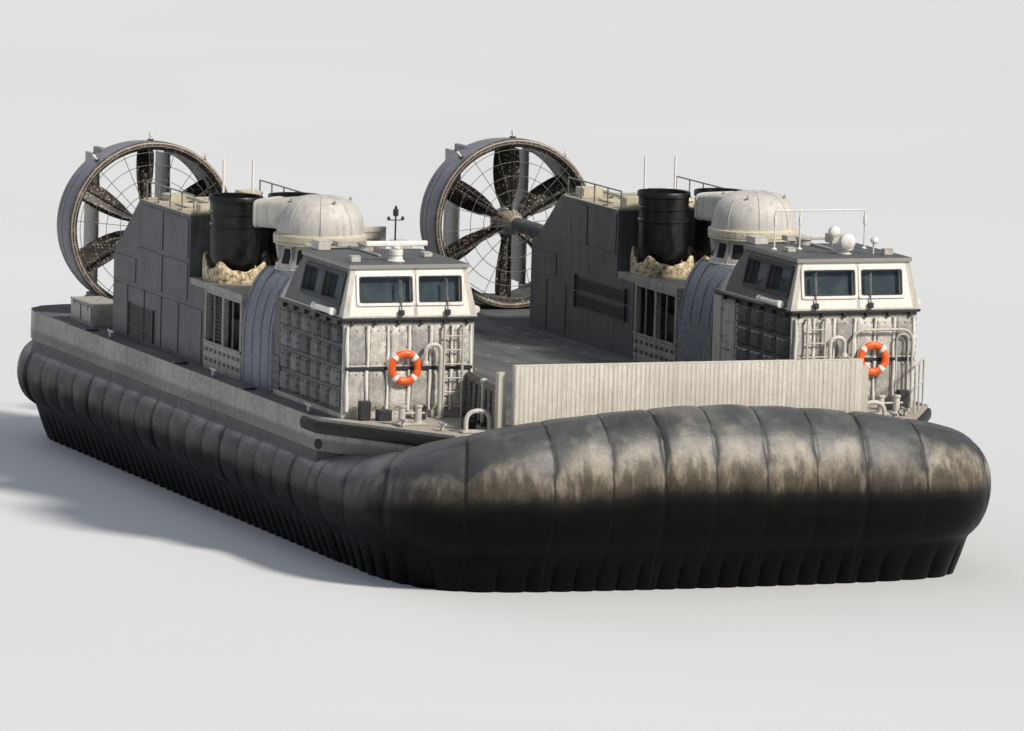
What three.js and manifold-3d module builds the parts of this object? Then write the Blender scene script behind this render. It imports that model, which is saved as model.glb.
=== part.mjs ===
// A fully skirted landing hovercraft: a flat buoyancy hull with an open cargo deck,
// a row of cabins and machinery along each side, ramps at bow and stern, and two
// ducted propellers aft.  Millimetres, +X to the bow, +Y to port, +Z up.  The origin
// is on the ground under the middle of the craft, which stands on its skirt's hem.
import * as THREE from 'three';
import { mergeVertices } from 'three/addons/utils/BufferGeometryUtils.js';
import Module from 'manifold-3d';

const wasm = await Module();
wasm.setup();

// Driving dimensions
const GAP = 0.4; // between pieces that touch
const BEARING_GAP = 0.4; // between a pin and its bore
const DECK = 3100; // top of the deck above the ground, on cushion
const WEAR = { thick: 6, half: 3600, aftHalf: 2200, step: -10100 }; // the cargo deck's wear plate
const SIDE_DECK_FOOT = 2400; // underside of the side deck that overhangs the skirt
const HULL_FOOT = 1600; // underside of the buoyancy hull
const HULL_INSET = 800; // buoyancy hull inside the side deck's edge
const FINGER_TOP = 850; // where the fingers hang from the bag
const FINGER_RAKE = 350; // the hem lies this far inside the finger's top
const HEM_WIDTH = 150;
const HULL_HALF_BEAM = 7100;
const BOW_FACE = 11350; // forward edge of the deck
const STERN_FACE = -12800;
const HOUSE_IN = 3690; // inboard and outboard faces of the side houses
const HOUSE_OUT = 6650;
const HOUSE_MID = (HOUSE_IN + HOUSE_OUT) / 2;
const CABIN = { aft: 4060, fore: 8390, eaves: 5250, wall: 120 };
const PILOT = { aft: 4500, overhang: 50, leanAft: 900, leanFore: 160, leanSide: 220, top: 6300 };
const ROOF = { lip: 50, thick: 70 };
const WINDOW = { foot: 5575, head: 6105 };
const DOOR = { aft: 4500, fore: 5300, foot: 3210, head: 5110, axisOut: 32 };
const FAN = { aft: 1880, fore: 3860, shoulder: 4300, top: 5650 };
const NOZZLE_TURN = { port: 15, starboard: -40 }; // rest turn of the mouth from dead aft, port geometry
const THRUSTER = { x: 2740, neck: 840, bore: 700, seat: 6220, rim: 1020, dome: 950, top: 7280 };
const ENGINE_BAY = { aft: -640, fore: 1860, roof: 5000, slab: 150 };
const STACK = { x: -850, apart: 700, radius: 600, top: 6920 };
const INTAKE = { aft: -7000, step: -650, fore: -1680, top: 6400, heel: 5000, crown: -5200 };
const DUCT = { y: 4583, z: 5165, lip: -10270, tail: -11650, rim: 2050, throat: 1830 };
const PROPELLER = { x: -10980, tip: 1790, hub: 330, blades: 6 };
const RUDDER = { apart: 880, axis: -12000, nose: -11800, tail: -12790 };
const BOW_RAMP = { half: 3980, axisZ: 2620, head: 4580, thick: 160 };
const STERN_RAMP = { half: 2250, axisZ: 2900, head: 4850, thick: 150 };

// Paint and material colours
const paint = (name, color, roughness, metalness = 0) =>
  new THREE.MeshStandardMaterial({ name, color, roughness, metalness });
const GREY = paint('haze grey paint', 0x8b8e8f, 0.6);
const PALE = paint('sunlit pale grey paint', 0xc9c5bb, 0.6);
const DARK = paint('dark grey paint', 0x3c3f44, 0.6);
const RUBBER = paint('black skirt rubber', 0x222324, 0.8);
const SOOT = paint('sooted steel', 0x17181a, 0.5, 0.4);
const BLADE = paint('composite blade', 0x2b2b2a, 0.5);
const GLASS = paint('tinted glass', 0x27323b, 0.1);
const ORANGE = paint('life ring orange', 0xe0491a, 0.6);
const WHITE = paint('white enamel', 0xeceae6, 0.4);
const SEAT = paint('seat cloth', 0x2f3338, 0.9);

// Closed meshes to solids and back, and the joins and cuts between them
function solid(geometry) {
  const bare = geometry.index ? geometry.toNonIndexed() : geometry.clone();
  const kept = new THREE.BufferGeometry();
  kept.setAttribute('position', bare.getAttribute('position'));
  const merged = mergeVertices(kept, 1e-3);
  return new wasm.Manifold(
    new wasm.Mesh({
      numProp: 3,
      vertProperties: merged.attributes.position.array,
      triVerts: new Uint32Array(merged.index.array),
    }),
  );
}

function surface(made) {
  const mesh = made.getMesh();
  const geometry = new THREE.BufferGeometry();
  geometry.setAttribute('position', new THREE.BufferAttribute(mesh.vertProperties, 3));
  geometry.setIndex(new THREE.BufferAttribute(mesh.triVerts, 1));
  return geometry;
}

const join = (...shapes) => surface(shapes.map(solid).reduce((a, b) => a.add(b)));
const cut = (shape, ...tools) =>
  surface(tools.map(solid).reduce((a, b) => a.subtract(b), solid(shape)));

// A box between two corners
function box(x0, x1, y0, y1, z0, z1) {
  const made = new THREE.BoxGeometry(x1 - x0, y1 - y0, z1 - z0);
  return made.translate((x0 + x1) / 2, (y0 + y1) / 2, (z0 + z1) / 2);
}

const shapeOf = (points) => new THREE.Shape(points.map(([a, b]) => new THREE.Vector2(a, b)));
const extrude = (outline, depth) =>
  new THREE.ExtrudeGeometry(outline instanceof THREE.Shape ? outline : shapeOf(outline), {
    depth,
    bevelEnabled: false,
    curveSegments: 6,
  });

// Outlines raised along one axis: [x, y] up Z, [x, z] across Y, [y, z] along X
const raise = (outline, z0, z1) => extrude(outline, z1 - z0).translate(0, 0, z0);
const across = (outline, y0, y1) =>
  extrude(outline, y1 - y0).rotateX(Math.PI / 2).translate(0, y1, 0);
const along = (outline, x0, x1) =>
  extrude(outline, x1 - x0)
    .applyMatrix4(new THREE.Matrix4().set(0, 0, 1, x0, 1, 0, 0, 0, 0, 1, 0, 0, 0, 0, 0, 1));

// A round bar from one point to another
function bar(from, to, radius, sides = 8, start = 0) {
  const a = new THREE.Vector3(...from);
  const b = new THREE.Vector3(...to);
  const way = b.clone().sub(a);
  const made = new THREE.CylinderGeometry(radius, radius, way.length(), sides, 1, false, start);
  const turn = new THREE.Quaternion().setFromUnitVectors(
    new THREE.Vector3(0, 1, 0),
    way.clone().normalize(),
  );
  return made.applyQuaternion(turn).translate(...a.add(b).multiplyScalar(0.5).toArray());
}

// The bore for a pin: its flats clear the pin's corners, which face their middles
function bore(from, to, radius, sides) {
  const reach = (radius + BEARING_GAP) / Math.cos(Math.PI / sides);
  return bar(from, to, reach, sides, Math.PI / sides);
}

// A profile of [radius, height] turned about an upright axis
function turned(profile, sides, x = 0, y = 0) {
  const points = profile.map(([r, h]) => new THREE.Vector2(r, h));
  return new THREE.LatheGeometry(points, sides).rotateX(Math.PI / 2).translate(x, y, 0);
}

// A closed skin over rings of equal length, with flat ends
function loft(rings) {
  const count = rings[0].length;
  const points = rings.flat();
  const faces = [];
  for (let i = 0; i + 1 < rings.length; i++)
    for (let j = 0; j < count; j++) {
      const [a, b] = [i * count + j, i * count + ((j + 1) % count)];
      faces.push(a, b, b + count, a, b + count, a + count);
    }
  const cap = (ring, start, flip) => {
    const [o, u] = [ring[0], ring[1].clone().sub(ring[0]).normalize()];
    const normal = new THREE.Vector3();
    ring.forEach((p, k) => normal.add(p.clone().cross(ring[(k + 1) % count])));
    const v = normal.normalize().cross(u);
    const flat = ring.map((p) => {
      const away = p.clone().sub(o);
      return new THREE.Vector2(away.dot(u), away.dot(v));
    });
    THREE.ShapeUtils.triangulateShape(flat, []).forEach(([a, b, c]) =>
      faces.push(start + a, start + (flip ? c : b), start + (flip ? b : c)),
    );
  };
  cap(rings[0], 0, true);
  cap(rings.at(-1), points.length - count, false);
  const made = new THREE.BufferGeometry().setFromPoints(points);
  made.setIndex(faces);
  if (solid(made).volume() > 0) return made;
  for (let k = 0; k < faces.length; k += 3) [faces[k], faces[k + 1]] = [faces[k + 1], faces[k]];
  return made.setIndex(faces);
}

// Stations round the deck's edge, port side, from the side to the centreline:
// x, y on the edge; turn of the outward normal from +Y towards the end, in degrees;
// reach of the bag beyond the edge; inner, the near side of its oval; its top and foot.
const BOW_STATIONS = [
  [8200, 7100, 0, 200, -1000, 2399, 800],
  [8900, 6678, 20, 640, -900, 2399, 800],
  [9775, 6150, 31, 1250, -200, 2450, 780],
  [10600, 5652, 40, 1750, 100, 2780, 740],
  [11350, 5200, 62, 2180, 300, 3180, 670],
  [BOW_FACE, 4200, 86, 2450, 330, 3480, 610],
  [BOW_FACE, 3000, 90, 2560, 330, 3640, 580],
  [BOW_FACE, 1500, 90, 2630, 330, 3770, 550],
  [BOW_FACE, 0, 90, 2650, 330, 3820, 550],
];
const STERN_STATIONS = [
  [-11500, 7100, 0, 200, -1000, 2399, 800],
  [-12150, 6950, -22, 330, -950, 2399, 800],
  [-12600, 6550, -50, 560, -900, 2399, 800],
  [STERN_FACE, 6000, -78, 800, -750, 2399, 800],
  [STERN_FACE, 4500, -90, 1060, -600, 2399, 800],
  [STERN_FACE, 2400, -90, 1180, -500, 2399, 800],
  [STERN_FACE, 0, -90, 1200, -450, 2399, 800],
];
const BAG_STEPS = 8;

const normalOf = (turn) => [
  Math.sin(THREE.MathUtils.degToRad(turn)),
  Math.cos(THREE.MathUtils.degToRad(turn)),
];
const mirrored = ([x, y, turn, ...rest]) => [x, -y, 180 - turn, ...rest];
const roundEnd = (stations) => [...stations, ...stations.slice(0, -1).reverse().map(mirrored)];

// The skirt's cross-section at a station: the bag's oval, the finger under it, and
// the flat inner faces that lie against the side deck and the buoyancy hull
function skirtRing([x, y, turn, reach, inner, top, foot]) {
  const [mid, half] = [(reach + inner) / 2, (reach - inner) / 2];
  const [level, rise] = [(top + foot) / 2, (top - foot) / 2];
  const first = Math.acos(Math.max(-0.996, (30 - mid) / half));
  const last = -Math.asin((level - FINGER_TOP) / rise);
  const oval = Array.from({ length: BAG_STEPS + 1 }, (_, k) => {
    const angle = first + ((last - first) * k) / BAG_STEPS;
    return [mid + half * Math.cos(angle), level + rise * Math.sin(angle)];
  });
  const heel = oval.at(-1)[0];
  const section = [
    [-HULL_INSET + GAP, SIDE_DECK_FOOT - GAP],
    [6, SIDE_DECK_FOOT - GAP],
    ...oval,
    [heel - FINGER_RAKE, 0],
    [heel - FINGER_RAKE - HEM_WIDTH, 0],
    [heel - 1000, FINGER_TOP],
    [-1300, HULL_FOOT - GAP],
    [-HULL_INSET + GAP, HULL_FOOT - GAP],
  ];
  const [nx, ny] = normalOf(turn);
  return section.map(([u, z]) => new THREE.Vector3(x + u * nx, y + u * ny, z));
}

// The cargo deck's wear plate, narrower where it runs out between the ducts
const wearPlate = () => {
  const half = [[-12700, WEAR.aftHalf], [WEAR.step, WEAR.aftHalf], [WEAR.step, WEAR.half], [11250, WEAR.half]];
  return [...half, ...half.map(([x, y]) => [x, -y]).reverse()];
};

// Hull: the wide side-deck slab over the narrower buoyancy box, landing pads below
function hull() {
  const edge = [...roundEnd(BOW_STATIONS), ...roundEnd(STERN_STATIONS).reverse()];
  const outline = (inset) =>
    edge.map(([x, y, turn]) => [x - inset * normalOf(turn)[0], y - inset * normalOf(turn)[1]]);
  const parts = [
    raise(outline(0), SIDE_DECK_FOOT, DECK),
    raise(outline(HULL_INSET), HULL_FOOT, SIDE_DECK_FOOT + 50),
  ];
  parts.push(raise(wearPlate(), DECK - 10, DECK + WEAR.thick));
  for (const x of [-9000, 0, 7500])
    for (const y of [-3200, 3200])
      parts.push(box(x - 800, x + 800, y - 350, y + 350, HULL_FOOT - 200, HULL_FOOT + 50));
  return join(...parts, ...rampLugs(BOW_RAMP, BOW_FACE, 1), ...rampLugs(STERN_RAMP, STERN_FACE, -1));
}

// A ramp stands at the deck's end and turns on a bar at its foot, held in two lugs
const RAMP_PIN = 60;
const RAMP_PIN_SIDES = 12;
const rampAxis = (face, ahead) => face + ahead * 150;

function rampLugs({ half, axisZ }, face, ahead) {
  const x = rampAxis(face, ahead);
  const [x0, x1] = [face - ahead * 60, x + ahead * 95].sort((a, b) => a - b);
  return [-1, 1].map((side) => {
    const [y0, y1] = [side * (half + 20), side * (half + 170)].sort((a, b) => a - b);
    return cut(
      box(x0, x1, y0, y1, axisZ - 110, axisZ + 110),
      bore([x, y0 - 10, axisZ], [x, y1 + 10, axisZ], RAMP_PIN, RAMP_PIN_SIDES),
    );
  });
}

function ramp({ half, axisZ, head, thick }, face, ahead) {
  const x = rampAxis(face, ahead);
  const parts = [
    box(x - thick / 2, x + thick / 2, -half, half, axisZ, head),
    bar([x, -half - 150, axisZ], [x, half + 150, axisZ], RAMP_PIN, RAMP_PIN_SIDES),
    bar([x, -half, axisZ], [x, half, axisZ], thick / 2, 12),
  ];
  return join(...parts);
}

// The bags that divide the cushion: one along the keel and one across it
function keelBags() {
  const [foot, top] = [160, HULL_FOOT - GAP];
  return join(
    box(-11000, 9300, -240, 240, foot, top),
    box(-2640, -2160, -5500, 5500, foot, top),
  );
}

// Rubber strip round the bow corner of the side deck
function bowFender() {
  const stations = [[7300, HULL_HALF_BEAM, 0], ...BOW_STATIONS.slice(0, 5)];
  return loft(
    stations.map(([x, y, turn]) => {
      const [nx, ny] = normalOf(turn);
      return [[GAP, 2770], [90, 2800], [90, 3010], [GAP, 3040]].map(
        ([u, z]) => new THREE.Vector3(x + u * nx, y + u * ny, z),
      );
    }),
  );
}

// Wall from the cabin to the bow ramp, with the ramp's latch post
const bowBulwark = () =>
  join(
    raise([[8400 + GAP, 3760], [11200, 4080], [11200, 4180], [8400 + GAP, 3860]], DECK + GAP, 4050),
    box(11130, 11310, 4060, 4240, DECK + GAP, 4400),
  );

// A ring of four corners at one height, shrunk by an inset
const corners = (x0, x1, y0, y1, z, inset = 0) =>
  [
    [x0 + inset, y0 + inset],
    [x1 - inset, y0 + inset],
    [x1 - inset, y1 - inset],
    [x0 + inset, y1 - inset],
  ].map(([x, y]) => new THREE.Vector3(x, y, z));

// The leaning upper part of the cabin, between two heights
function pilotShell(inset, z0, z1) {
  const span = PILOT.top - CABIN.eaves;
  return loft(
    [z0, z1].map((z) => {
      const lean = (z - CABIN.eaves) / span;
      return corners(
        PILOT.aft + PILOT.leanAft * lean,
        CABIN.fore + PILOT.overhang - PILOT.leanFore * lean,
        HOUSE_IN - PILOT.overhang + PILOT.leanSide * lean,
        HOUSE_OUT + PILOT.overhang - PILOT.leanSide * lean,
        z,
        inset,
      );
    }),
  );
}

// The roof's flat slab stands out beyond the leaning walls by its lip
function cabinRoof() {
  const inset = PILOT.leanSide - PILOT.overhang - ROOF.lip;
  const [x0, x1] = [PILOT.aft + PILOT.leanAft - ROOF.lip,
    CABIN.fore + PILOT.overhang - PILOT.leanFore + ROOF.lip];
  return box(x0, x1, HOUSE_IN + inset, HOUSE_OUT - inset, PILOT.top - 20, PILOT.top + ROOF.thick);
}

const PILOT_WALL = 130;
// Side windows, as x ranges, and front windows, as y ranges from the inboard side
const SIDE_WINDOWS = [[5720, 6800], [6960, 8060]];
const FRONT_WINDOWS = { wideInboard: [[3980, 5160], [5330, 6280]], wideOutboard: [[4000, 4950], [5120, 6300]] };

function cabinShell(frontWindows) {
  const outer = join(
    box(CABIN.aft, CABIN.fore, HOUSE_IN, HOUSE_OUT, DECK + GAP, CABIN.eaves),
    pilotShell(0, CABIN.eaves - 30, PILOT.top),
    cabinRoof(),
    ...doorLugs(),
  );
  const inside = CABIN.wall;
  const openings = [
    box(CABIN.aft + inside, CABIN.fore - inside, HOUSE_IN + inside, HOUSE_OUT - inside, 3180, CABIN.eaves - inside),
    pilotShell(PILOT_WALL, CABIN.eaves - inside - 10, PILOT.top - 60),
    box(DOOR.aft - 20, DOOR.fore + 10, HOUSE_IN - 5, HOUSE_IN + inside + 5, DOOR.foot - 10,
      DOOR.head + 10),
  ];
  for (const [x0, x1] of SIDE_WINDOWS)
    openings.push(box(x0, x1, HOUSE_IN - 200, HOUSE_OUT + 200, WINDOW.foot, WINDOW.head));
  for (const [y0, y1] of frontWindows)
    openings.push(box(7900, 8600, y0, y1, WINDOW.foot, WINDOW.head));
  return cut(outer, ...openings);
}

// One band of glass behind the window openings
const cabinGlass = () =>
  cut(
    pilotShell(PILOT_WALL + GAP, WINDOW.foot - 30, WINDOW.head + 25),
    pilotShell(PILOT_WALL + 30, WINDOW.foot - 60, WINDOW.head + 60),
  );

// The door fills the wall's thickness and hangs outside it on an upright pin
const DOOR_PIN = 18;
const DOOR_PIN_SIDES = 8;
const doorAxis = { x: DOOR.fore + 35, y: HOUSE_IN - DOOR.axisOut };

function doorLugs() {
  const { x, y } = doorAxis;
  return [DOOR.foot - 60, DOOR.head + 10].map((z) =>
    cut(
      box(x - 35, x + 40, y - 35, HOUSE_IN + 10, z, z + 50),
      bore([x, y, z - 5], [x, y, z + 55], DOOR_PIN, DOOR_PIN_SIDES),
    ),
  );
}

function cabinDoor() {
  const { x, y } = doorAxis;
  const leaf = [box(DOOR.aft, DOOR.fore, HOUSE_IN - 6, HOUSE_IN + CABIN.wall, DOOR.foot, DOOR.head)];
  for (const z of [DOOR.foot + 200, (DOOR.foot + DOOR.head) / 2, DOOR.head - 200])
    leaf.push(box(DOOR.fore - 120, x, y - 10, HOUSE_IN - 3, z - 40, z + 40));
  leaf.push(bar([x, y, DOOR.foot - 55], [x, y, DOOR.head + 55], DOOR_PIN, DOOR_PIN_SIDES));
  return join(...leaf);
}

// Raised cockpit floor with the instrument console at its front
const cockpitConsole = () =>
  across(
    [[6000, 3180 + GAP], [6080, 3180 + GAP], [6080, 4150], [7700, 4150], [7700, 3180 + GAP],
      [8270, 3180 + GAP], [8270, 5120], [8000, 5120], [7650, 4900], [7650, 4260], [6000, 4260]],
    HOUSE_IN + 130,
    HOUSE_OUT - 130,
  );

function cockpitSeats() {
  const floor = 4260 + GAP;
  const parts = [box(6500, 6900, 4300, 6000, floor, floor + 60)];
  for (const y of [4480, 5800])
    parts.push(
      across(
        [[6420, floor + 30], [6960, floor + 30], [7080, 4700], [7080, 4830], [6640, 4800],
          [6480, 5560], [6330, 5540], [6420, 4720]],
        y - 270,
        y + 270,
      ),
    );
  return join(...parts);
}

// Lift-fan casing: a slab whose shoulders curve in to the thruster's neck
function fanCasing() {
  const [y0, y1] = [HOUSE_IN + 60, HOUSE_OUT - 20];
  const neck = 1000;
  const outline = new THREE.Shape();
  outline.moveTo(y0, DECK + GAP);
  outline.lineTo(y1, DECK + GAP);
  outline.lineTo(y1, FAN.shoulder);
  outline.quadraticCurveTo(y1 - 60, FAN.top - 420, HOUSE_MID + neck, FAN.top - 60);
  outline.lineTo(HOUSE_MID + neck, FAN.top);
  outline.lineTo(HOUSE_MID - neck, FAN.top);
  outline.lineTo(HOUSE_MID - neck, FAN.top - 60);
  outline.quadraticCurveTo(y0 + 60, FAN.top - 420, y0, FAN.shoulder);
  const eye = (x0, x1, r) => bar([x0, HOUSE_MID, 4300], [x1, HOUSE_MID, 4300], r, 14);
  const casing = cut(
    along(outline, FAN.aft, FAN.fore),
    eye(FAN.aft - 20, FAN.aft + 260, 760),
    eye(FAN.fore - 260, FAN.fore + 20, 760),
  );
  return join(casing, eye(FAN.aft + 60, FAN.fore - 60, 240));
}

const ROUND = 20;
const thrusterNeck = () =>
  cut(
    turned(
      [[0, FAN.top + GAP], [990, FAN.top + GAP], [960, FAN.top + 120],
        [THRUSTER.neck, THRUSTER.seat - GAP], [0, THRUSTER.seat - GAP]],
      ROUND,
      THRUSTER.x,
      HOUSE_MID,
    ),
    bore([THRUSTER.x, HOUSE_MID, FAN.top - 10], [THRUSTER.x, HOUSE_MID, THRUSTER.seat + 20],
      THRUSTER.bore, ROUND),
  );

// Bow thruster: a domed elbow that turns on the neck and blows out of an aft mouth
function thrusterNozzle(turn) {
  const { rim, seat, x } = THRUSTER;
  const dome = (r, top, foot) => [
    [r, foot], [r, seat + 560], [r * 0.93, seat + 760], [r * 0.72, top - 130],
    [r * 0.4, top - 28], [0, top],
  ];
  const skin = [[0, seat], [rim, seat], [rim, seat + 260], ...dome(THRUSTER.dome, THRUSTER.top, seat + 280)];
  const well = [[0, seat - 120], [640, seat - 120], [640, seat + 60],
    ...dome(THRUSTER.dome - 70, THRUSTER.top - 80, seat + 100)];
  const shell = turned(skin, ROUND, x, HOUSE_MID);
  const mouth = along(mouthOutline(640, seat + 300, THRUSTER.top - 170), x - 1330, x);
  const room = turned(well, ROUND, x, HOUSE_MID);
  const passage = along(mouthOutline(570, seat + 370, THRUSTER.top - 240), x - 1350, x);
  const spigot = bar([x, HOUSE_MID, seat - 110], [x, HOUSE_MID, seat + 20], THRUSTER.bore, ROUND);
  return cut(join(shell, mouth, spigot), room, passage)
    .translate(-x, -HOUSE_MID, 0)
    .rotateZ(THREE.MathUtils.degToRad(turn))
    .translate(x, HOUSE_MID, 0);
}

// The mouth's cross-section: a box whose upper corners are cut away
const mouthOutline = (half, z0, z1) => {
  const [a, b] = [HOUSE_MID - half, HOUSE_MID + half];
  const trim = 160;
  return [[a, z0], [b, z0], [b, z1 - trim], [b - trim, z1], [a + trim, z1], [a, z1 - trim]];
};

// Engine bay: a roof on posts, with low side panels
function engineBay() {
  const { aft, fore, roof, slab } = ENGINE_BAY;
  const [y0, y1] = [HOUSE_IN + 40, HOUSE_OUT - 20];
  const parts = [box(INTAKE.fore + GAP, fore, y0, y1, roof - slab, roof)];
  for (const x of [aft, (aft + fore) / 2 - 60, fore - 120])
    for (const y of [y0, y1 - 120]) parts.push(box(x, x + 120, y, y + 120, DECK + GAP, roof));
  for (const y of [y0, y1 - 60]) parts.push(box(aft, fore, y, y + 60, DECK + GAP, 3700));
  return join(...parts);
}

// Two engines side by side on one bed
const engines = () =>
  join(
    box(-450, 1500, 4150, 6190, DECK + GAP, 3250),
    box(-350, 1400, 4200, 5050, 3200, 4250),
    box(-350, 1400, 5290, 6140, 3200, 4250),
  );

// Exhaust stack: a wide pot over a narrower throat, open at the top
const exhaust = (y) =>
  turned(
    [[0, ENGINE_BAY.roof + GAP], [430, ENGINE_BAY.roof + GAP], [430, 5250], [STACK.radius, 5520],
      [STACK.radius, STACK.top], [500, STACK.top], [500, 5500], [0, 5500]],
    16,
    STACK.x,
    y,
  );

const intakeHouse = () =>
  across(
    [[INTAKE.aft, DECK + GAP], [INTAKE.step, DECK + GAP],
      [INTAKE.step, ENGINE_BAY.roof - ENGINE_BAY.slab - GAP],
      [INTAKE.fore, ENGINE_BAY.roof - ENGINE_BAY.slab - GAP], [INTAKE.fore, INTAKE.top],
      [INTAKE.crown, INTAKE.top], [INTAKE.aft, INTAKE.heel]],
    HOUSE_IN + 20,
    HOUSE_OUT - 10,
  );

const aftLocker = () => box(-9900, -8300, 5950, 6700, DECK + GAP, 3620);

// Propeller duct with its feet, nacelle, spokes, drive-shaft fairing and rudder arms
const NACELLE = 300;
const DUCT_SIDES = 28;
const SHAFT = 110;
const SHAFT_SIDES = 12;
const RUDDER_PIN = 45;
const RUDDER_PIN_SIDES = 8;
const RUDDER_ARM = { z: 1610, deep: 170 };

function spunAlongX(profile, sides) {
  const made = new THREE.LatheGeometry(profile.map(([r, x]) => new THREE.Vector2(r, x)), sides);
  return made.rotateZ(-Math.PI / 2).translate(0, DUCT.y, DUCT.z);
}

function propellerDuct() {
  const { y, z, lip, tail, rim, throat } = DUCT;
  const ring = spunAlongX(
    [[throat, tail], [rim - 110, tail], [rim, lip - 420], [rim, lip - 90], [rim - 60, lip],
      [throat + 110, lip - 15], [throat, lip - 280], [throat, tail]],
    DUCT_SIDES,
  );
  const parts = [ring];
  for (const side of [-1, 1]) {
    const foot = y + side * 1100;
    parts.push(box(tail + 150, lip - 250, foot - 160, foot + 160, DECK + GAP, z - 1600));
  }
  for (const side of [-1, 1])
    for (const up of [-1, 1]) {
      const [ry, rz] = [y + side * RUDDER.apart, z + up * (RUDDER_ARM.z + RUDDER_ARM.deep / 2)];
      const arm = box(RUDDER.axis - 110, tail + 260, ry - 70, ry + 70,
        rz - RUDDER_ARM.deep / 2, rz + RUDDER_ARM.deep / 2);
      const hole = bore([RUDDER.axis, ry, rz - 200], [RUDDER.axis, ry, rz + 200],
        RUDDER_PIN, RUDDER_PIN_SIDES);
      parts.push(cut(arm, hole));
    }
  const hubFace = PROPELLER.x + 190;
  parts.push(
    spunAlongX([[0, hubFace], [NACELLE, hubFace], [NACELLE, hubFace + 250], [250, -10350],
      [170, -10150], [170, INTAKE.aft - 300], [230, INTAKE.aft - GAP], [0, INTAKE.aft - GAP]], 14),
    bar([hubFace + 20, y, z], [PROPELLER.x - 120, y, z], SHAFT, SHAFT_SIDES),
  );
  for (let k = 0; k < 6; k++) {
    const angle = ((k + 0.5) * Math.PI) / 3;
    const [c, s] = [Math.cos(angle), Math.sin(angle)];
    parts.push(bar([-10620, y + 200 * c, z + 200 * s],
      [-10560, y + (throat + 30) * c, z + (throat + 30) * s], 32, 5));
  }
  return join(...parts);
}

// Propeller: sections of the blade as radius, chord, thickness and pitch in degrees
const BLADE_SECTIONS = [
  [250, 300, 150, 62],
  [600, 470, 90, 50],
  [1150, 560, 55, 38],
  [PROPELLER.tip - 6, 520, 26, 30],
];

function propeller() {
  const { x, hub, blades } = PROPELLER;
  const outline = [[0.5, 0], [0.22, 0.5], [-0.28, 0.42], [-0.5, 0], [-0.28, -0.42], [0.22, -0.5]];
  const blade = loft(
    BLADE_SECTIONS.map(([r, chord, thick, pitch]) => {
      const [c, s] = normalOf(pitch).reverse();
      return outline.map(([a, t]) => {
        const [along_, over] = [a * chord, t * thick];
        return new THREE.Vector3(along_ * s + over * c, along_ * c - over * s, r);
      });
    }),
  );
  const body = new THREE.LatheGeometry(
    [[0, -430], [120, -415], [220, -350], [300, -220], [hub, -60], [hub, 175], [0, 175]].map(
      ([r, h]) => new THREE.Vector2(r, h),
    ),
    16,
  ).rotateZ(-Math.PI / 2);
  const parts = [body];
  for (let k = 0; k < blades; k++) parts.push(blade.clone().rotateX((k * 2 * Math.PI) / blades));
  const socket = bore([-140, 0, 0], [400, 0, 0], SHAFT, SHAFT_SIDES);
  return cut(join(...parts), socket).translate(x, DUCT.y, DUCT.z);
}

// Rudder: an upright fin with a pin at each end in the duct's arms
function rudder(side) {
  const y = DUCT.y + side * RUDDER.apart;
  const [z0, z1] = [DUCT.z - RUDDER_ARM.z + 12, DUCT.z + RUDDER_ARM.z - 12];
  const fin = raise(
    [[RUDDER.nose, 0], [RUDDER.nose - 60, 60], [RUDDER.axis - 60, 80], [RUDDER.tail, 12],
      [RUDDER.tail, -12], [RUDDER.axis - 60, -80], [RUDDER.nose - 60, -60]],
    z0,
    z1,
  ).translate(0, y, 0);
  const pin = bar([RUDDER.axis, y, z0 - 150], [RUDDER.axis, y, z1 + 150], RUDDER_PIN, RUDDER_PIN_SIDES);
  return join(fin, pin);
}

// Boarding ladder on the cabin's front
function cabinLadder() {
  const [x, y0, y1, top] = [8560, 4000, 4420, 5100];
  const parts = [];
  for (const y of [y0, y1]) {
    parts.push(bar([x, y, DECK + GAP], [x, y, top], 26));
    for (const z of [3300, 5050])
      parts.push(box(CABIN.fore + GAP, x, y - 20, y + 20, z - 20, z + 20));
  }
  for (let z = 3350; z < top; z += 300) parts.push(bar([x, y0, z], [x, y1, z], 18, 6));
  return join(...parts);
}

const lifeRing = (y) => {
  const [tube, ring, depth] = [80, 300, 80 * Math.sin(Math.PI / 3)];
  const made = new THREE.TorusGeometry(ring, tube, 6, 18).rotateY(Math.PI / 2);
  return made.translate(CABIN.fore + depth + GAP, y, 4190);
};

const ROOF_TOP = PILOT.top + ROOF.thick;

const whipAerials = (ys) =>
  join(
    box(-2280, -2120, Math.min(...ys) - 100, Math.max(...ys) + 100, INTAKE.top + GAP, INTAKE.top + 60),
    ...ys.map((y) => bar([-2200, y, INTAKE.top + 30], [-2200, y, 7600], 32)),
  );

function aerialFrame() {
  const [x, z, r] = [6500, 7230, 18];
  const posts = [4050, 4650, 6200];
  return join(
    ...posts.map((y) => bar([x, y, ROOF_TOP + GAP], [x, y, z], r, 6)),
    bar([x, posts[0] - r, z], [x, posts.at(-1) + r, z], r, 6),
  );
}

const masthead = () =>
  join(
    bar([6300, 4750, ROOF_TOP + GAP], [6300, 4750, 7420], 22),
    bar([6300, 4750, 7200], [6300, 4750, 7340], 60),
    bar([6300, 4750, ROOF_TOP + GAP], [6300, 4750, ROOF_TOP + 60], 90),
  );

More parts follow.
